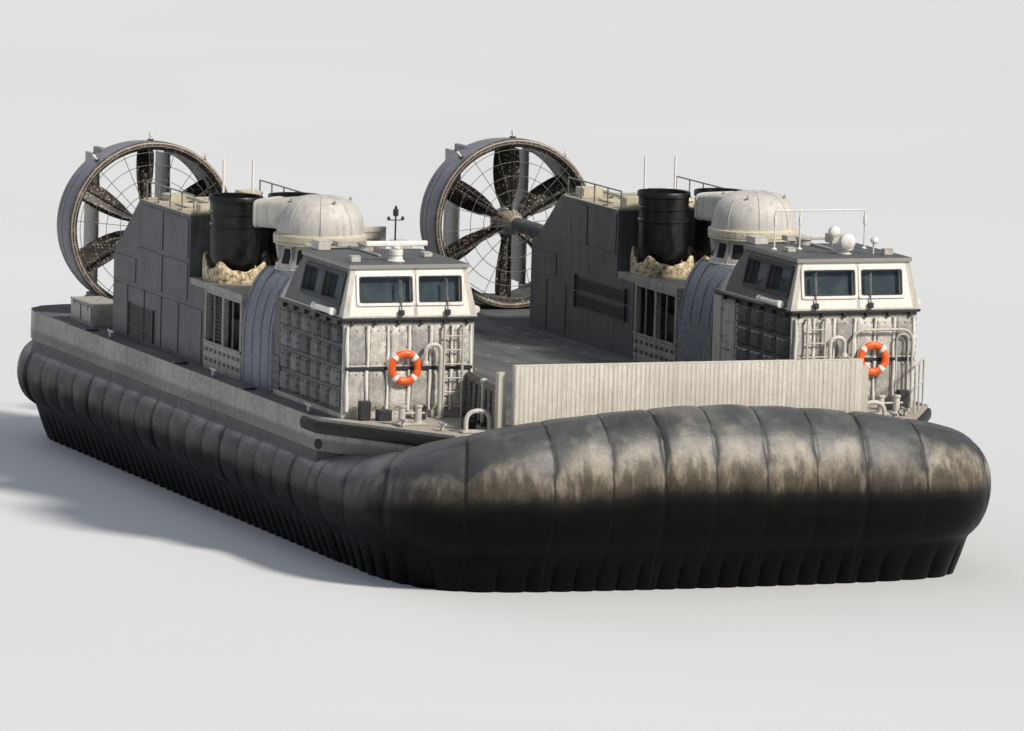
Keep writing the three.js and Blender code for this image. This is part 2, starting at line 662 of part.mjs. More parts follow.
const RADAR = { x: 7700, y: 5250, pin: 40, sides: 10, head: 6650 };
const radarPedestal = () =>
  cut(
    turned([[0, ROOF_TOP + GAP], [190, ROOF_TOP + GAP], [150, ROOF_TOP + 120], [150, RADAR.head - 20],
      [0, RADAR.head - 20]], 12, RADAR.x, RADAR.y),
    bore([RADAR.x, RADAR.y, RADAR.head - 130], [RADAR.x, RADAR.y, RADAR.head],
      RADAR.pin, RADAR.sides),
  );
const radarScanner = () =>
  join(
    box(RADAR.x - 65, RADAR.x + 65, RADAR.y - 700, RADAR.y + 700, RADAR.head + 40, RADAR.head + 160),
    bar([RADAR.x, RADAR.y, RADAR.head - 10], [RADAR.x, RADAR.y, RADAR.head + 60], 95, 12),
    bar([RADAR.x, RADAR.y, RADAR.head - 120], [RADAR.x, RADAR.y, RADAR.head], RADAR.pin, RADAR.sides),
  );

const searchlight = () =>
  join(
    new THREE.SphereGeometry(170, 10, 6).translate(7500, 5300, ROOF_TOP + 290),
    bar([7500, 5300, ROOF_TOP + GAP], [7500, 5300, ROOF_TOP + 200], 80, 12),
    bar([7500, 5300, ROOF_TOP + 290], [7700, 5300, ROOF_TOP + 290], 120, 12),
  );

// Assembly
const craft = new THREE.Group();
const add = (name, geometry, material, group = craft) => {
  const mesh = new THREE.Mesh(geometry, material);
  mesh.name = name;
  group.add(mesh);
};

add('hull', hull(), GREY);
add('bow_skirt', loft(roundEnd(BOW_STATIONS).map(skirtRing)), RUBBER);
add('stern_skirt', loft(roundEnd(STERN_STATIONS).map(skirtRing)), RUBBER);
add('keel_bags', keelBags(), RUBBER);
add('bow_ramp', ramp(BOW_RAMP, BOW_FACE, 1), PALE);
add('stern_ramp', ramp(STERN_RAMP, STERN_FACE, -1), GREY);

// What both sides carry, made for port; the starboard group is its mirror image
const sidePieces = [
  ['side_skirt', loft([skirtRing([BOW_STATIONS[0][0] - GAP, ...BOW_STATIONS[0].slice(1)]),
    skirtRing([STERN_STATIONS[0][0] + GAP, ...STERN_STATIONS[0].slice(1)])]), RUBBER],
  ['bow_fender', bowFender(), RUBBER],
  ['bow_bulwark', bowBulwark(), GREY],
  ['cabin_glass', cabinGlass(), GLASS],
  ['cabin_door', cabinDoor(), GREY],
  ['cockpit_console', cockpitConsole(), DARK],
  ['cockpit_seats', cockpitSeats(), SEAT],
  ['cabin_ladder', cabinLadder(), GREY],
  ['fan_casing', fanCasing(), DARK],
  ['thruster_neck', thrusterNeck(), PALE],
  ['engine_bay', engineBay(), GREY],
  ['engines', engines(), DARK],
  ['inboard_exhaust', exhaust(HOUSE_MID - STACK.apart), SOOT],
  ['outboard_exhaust', exhaust(HOUSE_MID + STACK.apart), SOOT],
  ['intake_house', intakeHouse(), DARK],
  ['aft_locker', aftLocker(), GREY],
  ['propeller_duct', propellerDuct(), DARK],
  ['propeller', propeller(), BLADE],
  ['inboard_rudder', rudder(-1), GREY],
  ['outboard_rudder', rudder(1), GREY],
];

// Pieces whose place differs from side to side
const ownPieces = {
  port: [
    ['port_cabin', cabinShell(FRONT_WINDOWS.wideInboard), PALE],
    ['port_thruster_nozzle', thrusterNozzle(NOZZLE_TURN.port), PALE],
    ['port_life_ring', lifeRing(5580), ORANGE],
    ['port_whip_aerials', whipAerials([4550, 5300]), WHITE],
    ['aerial_frame', aerialFrame(), WHITE],
    ['searchlight', searchlight(), WHITE],
  ],
  starboard: [
    ['starboard_cabin', cabinShell(FRONT_WINDOWS.wideOutboard), PALE],
    ['starboard_thruster_nozzle', thrusterNozzle(NOZZLE_TURN.starboard), PALE],
    ['starboard_life_ring', lifeRing(5300), ORANGE],
    ['starboard_whip_aerials', whipAerials([5000, 5700]), WHITE],
    ['masthead_pole', masthead(), DARK],
    ['radar_pedestal', radarPedestal(), WHITE],
    ['radar_scanner', radarScanner(), WHITE],
  ],
};

for (const [side, mirror] of [['port', 1], ['starboard', -1]]) {
  const group = new THREE.Group();
  group.scale.y = mirror;
  for (const [name, geometry, material] of sidePieces)
    add(`${side}_${name}`, geometry, material, group);
  for (const [name, geometry, material] of ownPieces[side]) add(name, geometry, material, group);
  craft.add(group);
}

export default craft;
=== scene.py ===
"""A skirted landing hovercraft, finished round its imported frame: metres, +X to the bow, +Y to
port, +Z up, the skirt's hem on the floor.  Port pieces are worked out and mirrored across the
middle line for starboard."""
from functools import partial
from math import cos, pi, radians, sin

import bpy
import numpy as np
from mathutils import Matrix, Vector


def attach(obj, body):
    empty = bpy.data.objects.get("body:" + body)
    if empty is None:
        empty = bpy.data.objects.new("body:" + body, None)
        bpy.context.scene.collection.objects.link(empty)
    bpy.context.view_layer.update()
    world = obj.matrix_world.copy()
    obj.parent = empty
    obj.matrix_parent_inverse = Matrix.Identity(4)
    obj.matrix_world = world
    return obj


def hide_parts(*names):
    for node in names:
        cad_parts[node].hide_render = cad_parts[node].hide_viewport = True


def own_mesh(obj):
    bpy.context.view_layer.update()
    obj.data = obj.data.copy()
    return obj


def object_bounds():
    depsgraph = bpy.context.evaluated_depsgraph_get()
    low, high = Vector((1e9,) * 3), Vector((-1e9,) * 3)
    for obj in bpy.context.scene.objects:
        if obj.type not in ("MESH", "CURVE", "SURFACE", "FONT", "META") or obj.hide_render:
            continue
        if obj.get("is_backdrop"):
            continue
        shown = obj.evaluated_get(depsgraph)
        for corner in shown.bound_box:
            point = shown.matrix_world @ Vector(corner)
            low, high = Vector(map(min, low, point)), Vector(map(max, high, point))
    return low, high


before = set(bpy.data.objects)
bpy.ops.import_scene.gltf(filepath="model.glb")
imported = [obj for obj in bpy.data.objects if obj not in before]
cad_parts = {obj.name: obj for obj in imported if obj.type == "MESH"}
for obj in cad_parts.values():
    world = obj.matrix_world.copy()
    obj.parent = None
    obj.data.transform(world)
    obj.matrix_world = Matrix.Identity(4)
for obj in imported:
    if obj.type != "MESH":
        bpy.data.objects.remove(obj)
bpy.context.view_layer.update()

# Camera.  The photograph's eye stood 24 m up and 158 m ahead of the craft's middle, off its
# starboard bow.  It is turned to the craft's middle and its lens made longer, so that the
# same view fills the frame.
PHOTO_EYE = Vector((157.875, -61.965, 23.592))
PHOTO_YAW, PHOTO_PITCH, PHOTO_ROLL = radians(21.592), radians(5.067), radians(1.629)
PHOTO_FOCAL, PHOTO_WIDTH, PHOTO_CENTRE = 3540.7, 1024, (512.0, 365.5)  # pixels
CRAFT_PIXEL = (509.0, 478.0)  # the middle of the craft in the photograph
CLOSER = 2.14

flat = cos(PHOTO_PITCH)
ahead = Vector((-cos(PHOTO_YAW) * flat, sin(PHOTO_YAW) * flat, -sin(PHOTO_PITCH)))
level = ahead.cross(Vector((0, 0, 1))).normalized()
right = Matrix.Rotation(-PHOTO_ROLL, 3, ahead) @ level
across, down = CRAFT_PIXEL[0] - PHOTO_CENTRE[0], CRAFT_PIXEL[1] - PHOTO_CENTRE[1]
aim = (ahead * PHOTO_FOCAL + right * across - right.cross(ahead) * down).normalized()
right = (right - aim * right.dot(aim)).normalized()
eye = bpy.data.objects.new("eye", bpy.data.cameras.new("eye"))
eye.data.sensor_width = 36.0
eye.data.lens = 36.0 * PHOTO_FOCAL / PHOTO_WIDTH * CLOSER
eye.data.clip_start, eye.data.clip_end = 1.0, 3000.0
look = Matrix((right, right.cross(aim), -aim)).transposed().to_4x4()
eye.matrix_world = Matrix.Translation(PHOTO_EYE) @ look
bpy.context.scene.collection.objects.link(eye)
bpy.context.scene.camera = eye


# Floor and light.  A pale studio floor, a broad key from the port bow where the photograph's
# sun stands, a weak fill from starboard, a rim light from astern and a grey surround.
FLOOR_HALF = 1500.0
LAMPS = (  # name, strength, spread and bearing from the bow in degrees, height, tint
    ("key", 4.5, 8.0, 33.0, 40.0, "#FFF6EA"),
    ("fill", 0.18, 60.0, -75.0, 35.0, "#E8F0FF"),
    ("rim", 0.5, 40.0, 190.0, 30.0, "#F2F5FF"),
)


def linear(code):
    """An sRGB hex colour as linear light: each channel by the sRGB curve, with alpha 1."""
    channels = np.array([int(code[k : k + 2], 16) for k in (1, 3, 5)]) / 255
    bright = ((channels + 0.055) / 1.055) ** 2.4
    return (*np.where(channels <= 0.04045, channels / 12.92, bright).tolist(), 1.0)


def feed(made, feeds):
    """Sets or links a node's sockets, from a list in order or a dictionary by name: a socket is
    linked, a hex colour or a grey level or a number is set, and None leaves the socket alone."""
    for key, value in feeds.items() if isinstance(feeds, dict) else enumerate(feeds):
        socket = made.inputs[key]
        if isinstance(value, bpy.types.NodeSocket):
            made.id_data.links.new(value, socket)
        elif isinstance(value, str):
            socket.default_value = linear(value)
        elif value is not None:
            grey = socket.type == "RGBA" and isinstance(value, (int, float))
            socket.default_value = (value, value, value, 1.0) if grey else value


def add(tree, kind, feeds=(), out=0, stops=(), **settings):
    """Adds a shader node of a kind with its settings, its fed sockets and, on a colour ramp, its
    stops as (place, grey level or hex colour), and returns one of its outputs.  A second word in
    the kind is what a mathematics node does or how a mixing node blends."""
    kind, *does = kind.split()
    made = tree.nodes.new("ShaderNode" + kind)
    for word in does:
        setattr(made, "blend_type" if kind == "MixRGB" else "operation", word)
    for key, value in settings.items():
        setattr(made, key, value)
    for k, (place, colour) in enumerate(stops):
        bar = made.color_ramp.elements
        stop = bar[k] if k < 2 else bar.new(place)
        stop.position = place
        stop.color = linear(colour) if isinstance(colour, str) else (colour, colour, colour, 1.0)
    feed(made, feeds)
    return made.outputs[out]


def material(name):
    """A new material for a slot of the record: itself, the adding of nodes to it, its shader and
    a socket with the piece's own place in metres."""
    made = bpy.data.materials.new(name)
    made.use_nodes = True
    node = partial(add, made.node_tree)
    return made, node, made.node_tree.nodes["Principled BSDF"], node("TexCoord", out=3)


floor_mesh = bpy.data.meshes.new("floor")
corners = [(FLOOR_HALF * x, FLOOR_HALF * y, -0.004) for x, y in ((-1, -1), (1, -1), (1, 1), (-1, 1))]
floor_mesh.from_pydata(corners, [], [(0, 1, 2, 3)])
floor = bpy.data.objects.new("floor", floor_mesh)
bpy.context.scene.collection.objects.link(floor)
studio_floor, node, shader, place = material("matt studio floor")
drift = node("TexNoise", {"Vector": place, "Scale": 0.05, "Detail": 2.0})
shade = node("ValToRGB", [drift], stops=((0.3, "#C9CCCF"), (0.7, "#CDD0D3")))
feed(shader, {"Base Color": shade, "Roughness": 0.75})
floor_mesh.materials.append(studio_floor)
floor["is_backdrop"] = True

for name, strength, spread, bearing, height, tint in LAMPS:
    lamp = bpy.data.lights.new(name, "SUN")
    lamp.energy, lamp.angle, lamp.color = strength, radians(spread), linear(tint)[:3]
    hung = bpy.data.objects.new(name, lamp)
    a, e = radians(bearing), radians(height)
    shone_from = Vector((cos(a) * cos(e), sin(a) * cos(e), sin(e)))
    hung.rotation_euler = shone_from.to_track_quat("Z", "Y").to_euler()
    bpy.context.scene.collection.objects.link(hung)
surround = bpy.data.worlds.new("surround")
surround.use_nodes = True
feed(surround.node_tree.nodes["Background"], {"Color": "#DCE4EE", "Strength": 0.37})
bpy.context.scene.world = surround
bpy.context.scene.view_settings.view_transform = "Standard"
bpy.context.scene.view_settings.look = "None"


# Hull and deck.  A welded aluminium box under a wide deck slab: light paint along the slab's
# edge, rubbed and streaked, dark grit in epoxy underfoot, and a wear plate down the cargo
# deck with tyre marks and rows of lashing sockets let into it.
DECK, WEAR_TOP = 3.1, 3.106
SLAB_FOOT, SLAB_SHADE_TOP, FOREDECK_AFT = 2.39, 2.62, 8.35
SOCKET_STEP = 1.22
SIDES = (("port", 1), ("starboard", -1))


def marine_paint(name, coat, faded, grime, bare="#A9A7A1", runs=0.5, rough=(0.42, 0.72), chips=0.66):
    """Rolled epoxy paint on aluminium plate, satin and chalked by sun and salt.  It fades in
    clouds a few metres wide, dirt runs down it in streaks, it chips to bare metal along edges
    and in specks, and the plate under it is slightly uneven.  Returns its sockets for more."""
    made, node, shader, place = material(name)
    cloud = node("TexNoise", {"Vector": place, "Scale": 0.55, "Detail": 4.0, "Roughness": 0.6})
    mottle = node("TexNoise", {"Vector": place, "Scale": 4.5, "Detail": 7.0, "Roughness": 0.7})
    thin = node("Mapping", {"Vector": place, "Scale": (9.0, 9.0, 0.55)})
    run = node("TexNoise", {"Vector": thin, "Scale": 1.0, "Detail": 5.0, "Roughness": 0.65})
    fleck = node("TexNoise", {"Vector": place, "Scale": 26.0, "Detail": 3.0, "Roughness": 0.6})
    fade = node("Math MULTIPLY", [cloud, mottle])
    fade = node("ValToRGB", [fade], stops=((0.16, 0.0), (0.36, 1.0)))
    base = node("MixRGB", [fade, coat, faded])
    dirty = node("ValToRGB", [run], stops=((0.5, 0.0), (0.72, runs)))
    base = node("MixRGB", [dirty, base, grime])
    soft = node("Bevel", {"Radius": 0.018}, samples=4)
    true = node("NewGeometry", out=3)
    square = node("VectorMath DOT_PRODUCT", [soft, true], out=1)
    edge = node("ValToRGB", [square], stops=((0.88, 1.0), (0.985, 0.0)))
    edge = node("MixRGB MULTIPLY", [0.75, edge, mottle])
    speck = node("Math ADD", [fleck, node("Math MULTIPLY", [mottle, 0.35])])
    speck = node("ValToRGB", [speck], stops=((chips + 0.06, 0.0), (chips + 0.12, 0.8)))
    worn = node("MixRGB LIGHTEN", [1.0, edge, speck])
    base = node("MixRGB", [worn, base, bare])
    sheen = node("ValToRGB", [mottle], stops=((0.3, rough[0]), (0.75, rough[1])))
    dents = node("Math ADD", [cloud, node("Math MULTIPLY", [fleck, 0.03])])
    bump = node("Bump", {"Height": dents, "Strength": 0.5, "Distance": 0.05, "Normal": soft})
    feed(shader, {"Base Color": base, "Roughness": sheen, "Normal": bump})
    return made, node, shader, place, base


def coat_node(finish, *nodes):
    """Gives CAD nodes a finish in place of their plain one."""
    for node in nodes:
        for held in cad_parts[node].material_slots:
            held.material = finish


hull_paint, node, shader, place, base = marine_paint(
    "chalked haze grey epoxy", "#85847F", "#9C9990", "#55524B", runs=0.8
)
grit = node("TexNoise", {"Vector": place, "Scale": 60.0, "Detail": 2.0, "Roughness": 0.8})
wide = node("TexNoise", {"Vector": place, "Scale": 0.8, "Detail": 6.0, "Roughness": 0.65})
tracked = node("Mapping", {"Vector": place, "Scale": (0.25, 2.0, 1.0)})
tracked = node("TexNoise", {"Vector": tracked, "Scale": 1.0, "Detail": 4.0})
xyz = [node("SeparateXYZ", [place], out=k) for k in range(3)]
in_well = node("Math GREATER_THAN", [xyz[2], DECK + 0.003])
on_deck = node("Math GREATER_THAN", [xyz[2], DECK - 0.004])
floor_grit = node("ValToRGB", [wide], stops=((0.3, "#4B4D4E"), (0.7, "#66676A")))
tracked = node("Math MULTIPLY_ADD", [wide, 0.5, node("Math MULTIPLY", [tracked, 0.5])])
well_grit = node("ValToRGB", [tracked], stops=((0.36, "#434546"), (0.5, "#58595A"), (0.62, "#6B6A67")))
foredeck = node("Math ADD", [xyz[0], node("Math MULTIPLY", [wide, 0.5])])
foredeck = node("MapRange", [foredeck, FOREDECK_AFT, FOREDECK_AFT + 0.35, 0.0, 0.8])
floor_grit = node("MixRGB", [foredeck, floor_grit, "#B5AFA4"])
floor_grit = node("MixRGB", [in_well, floor_grit, well_grit])
sparkle = node("ValToRGB", [grit], stops=((0.45, 0.82), (0.7, 1.12)))
floor_grit = node("MixRGB MULTIPLY", [1.0, floor_grit, sparkle])
under = node("Math LESS_THAN", [xyz[2], SLAB_FOOT])
# Painted shade: a darker strip along the foot of the slab's edge, just above the skirt.
band = node("MapRange", [xyz[2], SLAB_SHADE_TOP, SLAB_SHADE_TOP + 0.08, 0.75, 0.0])
base = node("MixRGB", [band, base, "#5A5955"])
base = node("MixRGB", [under, base, "#4A4C4D"])
base = node("MixRGB", [on_deck, base, floor_grit])
sheen = node("ValToRGB", [wide], stops=((0.35, 0.45), (0.65, 0.7)))
feed(shader, {"Base Color": base, "Roughness": node("MixRGB", [on_deck, sheen, 0.92])})
coat_node(hull_paint, "hull")


def skin(grid, ring=True, loop=False, capped=True):
    """Quads over a grid of points: each cell joins a point to the next in its row and to the two
    beside them in the next row.  A ring closes each row, a loop closes the last row on the
    first, and caps close the end rows with one flat face each."""
    grid = np.array(grid)
    rows, columns = grid.shape[:2]
    count = np.arange(rows * columns).reshape(rows, columns)
    if ring:
        count = np.concatenate([count, count[:, :1]], 1)
    if loop:
        count = np.concatenate([count, count[:1]])
    cells = np.stack([count[:-1, :-1], count[:-1, 1:], count[1:, 1:], count[1:, :-1]], 2)
    faces = [cells.reshape(-1, 4)]
    if ring and capped and not loop:
        faces += [count[:1, -2::-1], count[-1:, :-1]]
    return grid.reshape(-1, 3), faces


def piece(name, shapes, finish, body="craft", stands_for=(), crease=32.0, marks=None):
    """One mesh from pairs of points and faces.  Each shape is turned outwards by the sign of its
    volume, a sixth of the sum of a.(b x c) over its triangles about its middle.  It is smooth
    but for edges sharper than crease degrees; marks are attributes by name."""
    loops, sizes, start = [], [], 0
    for points, faces in shapes:
        volume = 0.0
        for block in faces:
            c = (points - points.mean(0))[block]
            for k in range(1, c.shape[1] - 1):
                volume += (c[:, 0] * np.cross(c[:, k], c[:, k + 1])).sum()
        for block in faces:
            loops.append((block[:, ::-1] if volume < 0 else block).ravel() + start)
            sizes.append(np.full(len(block), block.shape[1]))
        start += len(points)
    points = np.concatenate([p for p, _ in shapes]).astype(np.float32)
    loops, sizes = np.concatenate(loops).astype(np.int32), np.concatenate(sizes)
    mesh = bpy.data.meshes.new(name)
    mesh.vertices.add(len(points))
    mesh.vertices.foreach_set("co", points.ravel())
    mesh.loops.add(len(loops))
    mesh.loops.foreach_set("vertex_index", loops)
    mesh.polygons.add(len(sizes))
    mesh.polygons.foreach_set("loop_start", (np.cumsum(sizes) - sizes).astype(np.int32))
    mesh.update(calc_edges=True)
    for key, values in (marks or {}).items():
        kind, field = ("FLOAT", "value") if values.ndim == 1 else ("FLOAT_VECTOR", "vector")
        mark = mesh.attributes.new(key, kind, "POINT")
        mark.data.foreach_set(field, values.astype(np.float32).ravel())
    mesh.shade_smooth()
    mesh.set_sharp_from_angle(angle=radians(crease))
    mesh.materials.append(finish)
    made = bpy.data.objects.new(name, mesh)
    bpy.context.scene.collection.objects.link(made)
    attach(made, body)
    if stands_for:
        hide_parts(*stands_for)
    return made


def mirrored(shapes, mirror):
    """The shapes as given for 1, and for -1 their image across the middle line, y times -1."""
    return [(points * (1, mirror, 1), faces) for points, faces in shapes]


def both_sides(name, shapes, finish, body="craft", stands_for=(), **more):
    """The port piece as given, and its mirror image across the middle line for starboard.  A
    pair of braces in a body's or node's name is the side."""
    for side, mirror in SIDES:
        replaced = [node.format(side) for node in stands_for]
        piece(f"{side}_{name}", mirrored(shapes, mirror), finish, body.format(side), replaced, **more)


def blocks(centres, sizes, chamfer=0.004):
    """Chamfered blocks: each of a block's eight corners is three points, one at full size along
    each axis and pulled in by the chamfer along the other two."""
    centres = np.atleast_2d(centres).astype(float)
    half = np.broadcast_to(np.atleast_2d(sizes) / 2, centres.shape)
    signs = np.array([(x, y, z) for x in (-1, 1) for y in (-1, 1) for z in (-1, 1)])
    inner = chamfer * (1 - np.eye(3))
    template = signs[:, None, :] * (half[:, None, None, :] - inner[None, None])
    points = centres[:, None, None, :] + template
    at = lambda x, y, z, axis: ((x > 0) * 4 + (y > 0) * 2 + (z > 0)) * 3 + axis
    sides, bars, tips = [], [], []
    for axis in range(3):
        near, far = [k for k in range(3) if k != axis]
        for s in (-1, 1):
            turn = [(-1, -1), (1, -1), (1, 1), (-1, 1)][:: s * (1 if axis != 1 else -1)]
            place_at = lambda a, b: [s if k == axis else (a if k == near else b) for k in range(3)]
            sides.append([at(*place_at(a, b), axis) for a, b in turn])
        for a in (-1, 1):
            for b in (-1, 1):
                ends = [[s if k == axis else (a if k == near else b) for k in range(3)] for s in (-1, 1)]
                bar = [at(*ends[0], near), at(*ends[1], near), at(*ends[1], far), at(*ends[0], far)]
                bars.append(bar[:: a * b * (-1 if axis == 1 else 1)])
    for x, y, z in signs:
        tips.append([at(x, y, z, k) for k in range(3)][:: int(x * y * z)])
    step = 24 * np.arange(len(centres))[:, None, None]
    faces = [(np.array(group)[None] + step).reshape(-1, len(group[0])) for group in (sides + bars, tips)]
    return points.reshape(-1, 3), faces


def circle(count):
    """A number of angles spaced evenly round a full turn."""
    return np.linspace(0, 2 * pi, count, endpoint=False)


def tube(path, radius, sides=8, loop=False, capped=True):
    """A round bar along a path: at each point a ring, in the plane across the path, of the given
    radius or radii, laid out from the axis that the path follows least."""
    path = np.asarray(path, float)
    way = np.gradient(path, axis=0) if not loop else np.roll(path, -1, 0) - np.roll(path, 1, 0)
    way /= np.linalg.norm(way, axis=1)[:, None]
    least = np.eye(3)[np.argmin(np.abs(way).max(0))]
    over = np.cross(way, least)
    over /= np.linalg.norm(over, axis=1)[:, None]
    beside = np.cross(way, over)
    turn = circle(sides)
    ring = np.cos(turn)[None, :, None] * over[:, None] + np.sin(turn)[None, :, None] * beside[:, None]
    wide = np.broadcast_to(radius, len(path))[:, None, None]
    return skin(path[:, None] + wide * ring, loop=loop, capped=capped)


def turned(profile, sides, centre=(0, 0, 0), axis=2, loop=False):
    """A profile of (radius, height) turned about an upright axis, or about X (axis 0)."""
    radius, high = np.array(profile, float).T
    turn = circle(sides)
    wide = np.maximum(radius, 1e-4)[:, None]
    grid = np.stack([wide * np.cos(turn), wide * np.sin(turn), high[:, None] + 0 * turn], 2)
    if axis == 0:
        grid = grid[:, :, [2, 0, 1]]
    return skin(grid + np.array(centre), loop=loop)


def studs(centres, out, radius, height, sides=6):
    """Bolt heads: short tapered prisms on a wall whose outward direction is given."""
    centres = np.atleast_2d(centres).astype(float)
    out = np.array(out, float) / np.linalg.norm(out)
    side = np.cross(out, np.eye(3)[np.argmin(np.abs(out))])
    side /= np.linalg.norm(side)
    turn = circle(sides)
    ring = np.cos(turn)[:, None] * side + np.sin(turn)[:, None] * np.cross(out, side)
    low, top = ring * radius - out * 0.002, ring * radius * 0.8 + out * height
    points = centres[:, None] + np.concatenate([low, top])[None]
    k = np.arange(sides)
    quads = np.stack([k, (k + 1) % sides, (k + 1) % sides + sides, k + sides], 1)
    step = 2 * sides * np.arange(len(centres))[:, None, None]
    caps = np.stack([k[::-1], k + sides])
    return points.reshape(-1, 3), [(quads + step).reshape(-1, 4), (caps + step).reshape(-1, sides)]


def lattice(*ranges):
    """Every combination of the given coordinates, as rows of points."""
    return np.stack(np.meshgrid(*ranges, indexing="ij"), -1).reshape(-1, len(ranges))


galvanised, node, shader, place = material("weathered galvanised steel")
cloudy = node("TexNoise", {"Vector": place, "Scale": 14.0, "Detail": 5.0, "Roughness": 0.7})
feed(shader, {
    "Base Color": node("ValToRGB", [cloudy], stops=((0.3, "#55534E"), (0.55, "#86847E"), (0.75, "#9A968C"))),
    "Roughness": node("ValToRGB", [cloudy], stops=((0.3, 0.35), (0.7, 0.6))),
    "Metallic": 0.55,
})
# Lashing sockets: a flush ring round a dished well with a bar across it
spots = lattice(np.arange(-9.15, 10.8, SOCKET_STEP), np.linspace(-3.05, 3.05, 6), [WEAR_TOP])
dish = [(0.105, -0.002), (0.1, 0.006), (0.078, 0.006), (0.07, -0.001)]
socket_parts = [turned(dish, 10, spot, loop=True) for spot in spots]
socket_parts.append(blocks(spots + (0, 0, 0.002), (0.15, 0.026, 0.008), 0.002))
piece("deck_lashing_sockets", socket_parts, galvanised)


# Skirt bag and fingers.  Coated nylon sheet, black, blown up into a fat bag round the hull's
# edge, in gores joined by glued seams; below it hang the fingers, open scoops of the same
# sheet that seal to the ground.  The bow's middle length is a piece of its own, because it
# sinks when the ramp comes down on it, and closes at both ends with a web.
# Stations: x and y on the deck's edge, port side; turn of the outward normal from +Y to the
# end in degrees; the bag's reach beyond the edge; its inner side; its top; its foot.
BOW_EDGE = np.array([
    (8.2, 7.1, 0, 0.2, -1.0, 2.399, 0.8),
    (8.9, 6.678, 20, 0.64, -0.9, 2.399, 0.8),
    (9.775, 6.15, 31, 1.25, -0.2, 2.45, 0.78),
    (10.6, 5.652, 40, 1.75, 0.1, 2.78, 0.74),
    (11.35, 5.2, 62, 2.18, 0.3, 3.18, 0.67),
    (11.35, 4.2, 86, 2.45, 0.33, 3.48, 0.61),
    (11.35, 3.0, 90, 2.56, 0.33, 3.64, 0.58),
    (11.35, 1.5, 90, 2.63, 0.33, 3.77, 0.55),
    (11.35, 0.0, 90, 2.65, 0.33, 3.82, 0.55),
])
STERN_EDGE = np.array([
    (-11.5, 7.1, 0, 0.2, -1.0, 2.399, 0.8),
    (-12.15, 6.95, -22, 0.33, -0.95, 2.399, 0.8),
    (-12.6, 6.55, -50, 0.56, -0.9, 2.399, 0.8),
    (-12.8, 6.0, -78, 0.8, -0.75, 2.399, 0.8),
    (-12.8, 4.5, -90, 1.06, -0.6, 2.399, 0.8),
    (-12.8, 2.4, -90, 1.18, -0.5, 2.399, 0.8),
    (-12.8, 0.0, -90, 1.2, -0.45, 2.399, 0.8),
])
BOW_MIDDLE_HALF = 4.3  # where the sinking length ends, outside the ramp's edge
FINGER_TOP, FINGER_RAKE, FINGER_WIDTH = 0.85, 0.35, 0.46
GORE = 1.15  # between two seams of the bag
SHEET_STEP = 0.046
HULL_INSET, HULL_FOOT, HULL_EDGE_FOOT = 0.8, 1.6, 2.398


def round_end(edge):
    """Port stations from the side to the middle, then their mirror images back to starboard."""
    other = edge[-2::-1] * (1, -1, 1, 1, 1, 1, 1)
    other[:, 2] = np.copysign(180, edge[-1, 2]) - other[:, 2]
    return np.concatenate([edge, other])


def along(rows, step, smooth):
    """Rows of numbers resampled evenly by the distance that x and y run, then averaged twice
    over a window of the given length, the ends kept, so that corners turn in a curve."""
    run = np.concatenate([[0], np.cumsum(np.hypot(*np.diff(rows[:, :2], axis=0).T))])
    at = np.linspace(0, run[-1], int(run[-1] / step) + 1)
    dense = np.stack([np.interp(at, run, column) for column in rows.T], 1)
    wide = max(1, int(smooth / step / 2))
    for _ in range(2):
        before, after = 2 * dense[0] - dense[wide:0:-1], 2 * dense[-1] - dense[-2 : -wide - 2 : -1]
        total = np.cumsum(np.concatenate([0 * dense[:1], before, dense, after]), 0)
        dense = (total[2 * wide + 1 :] - total[: -2 * wide - 1]) / (2 * wide + 1)
    return at, dense


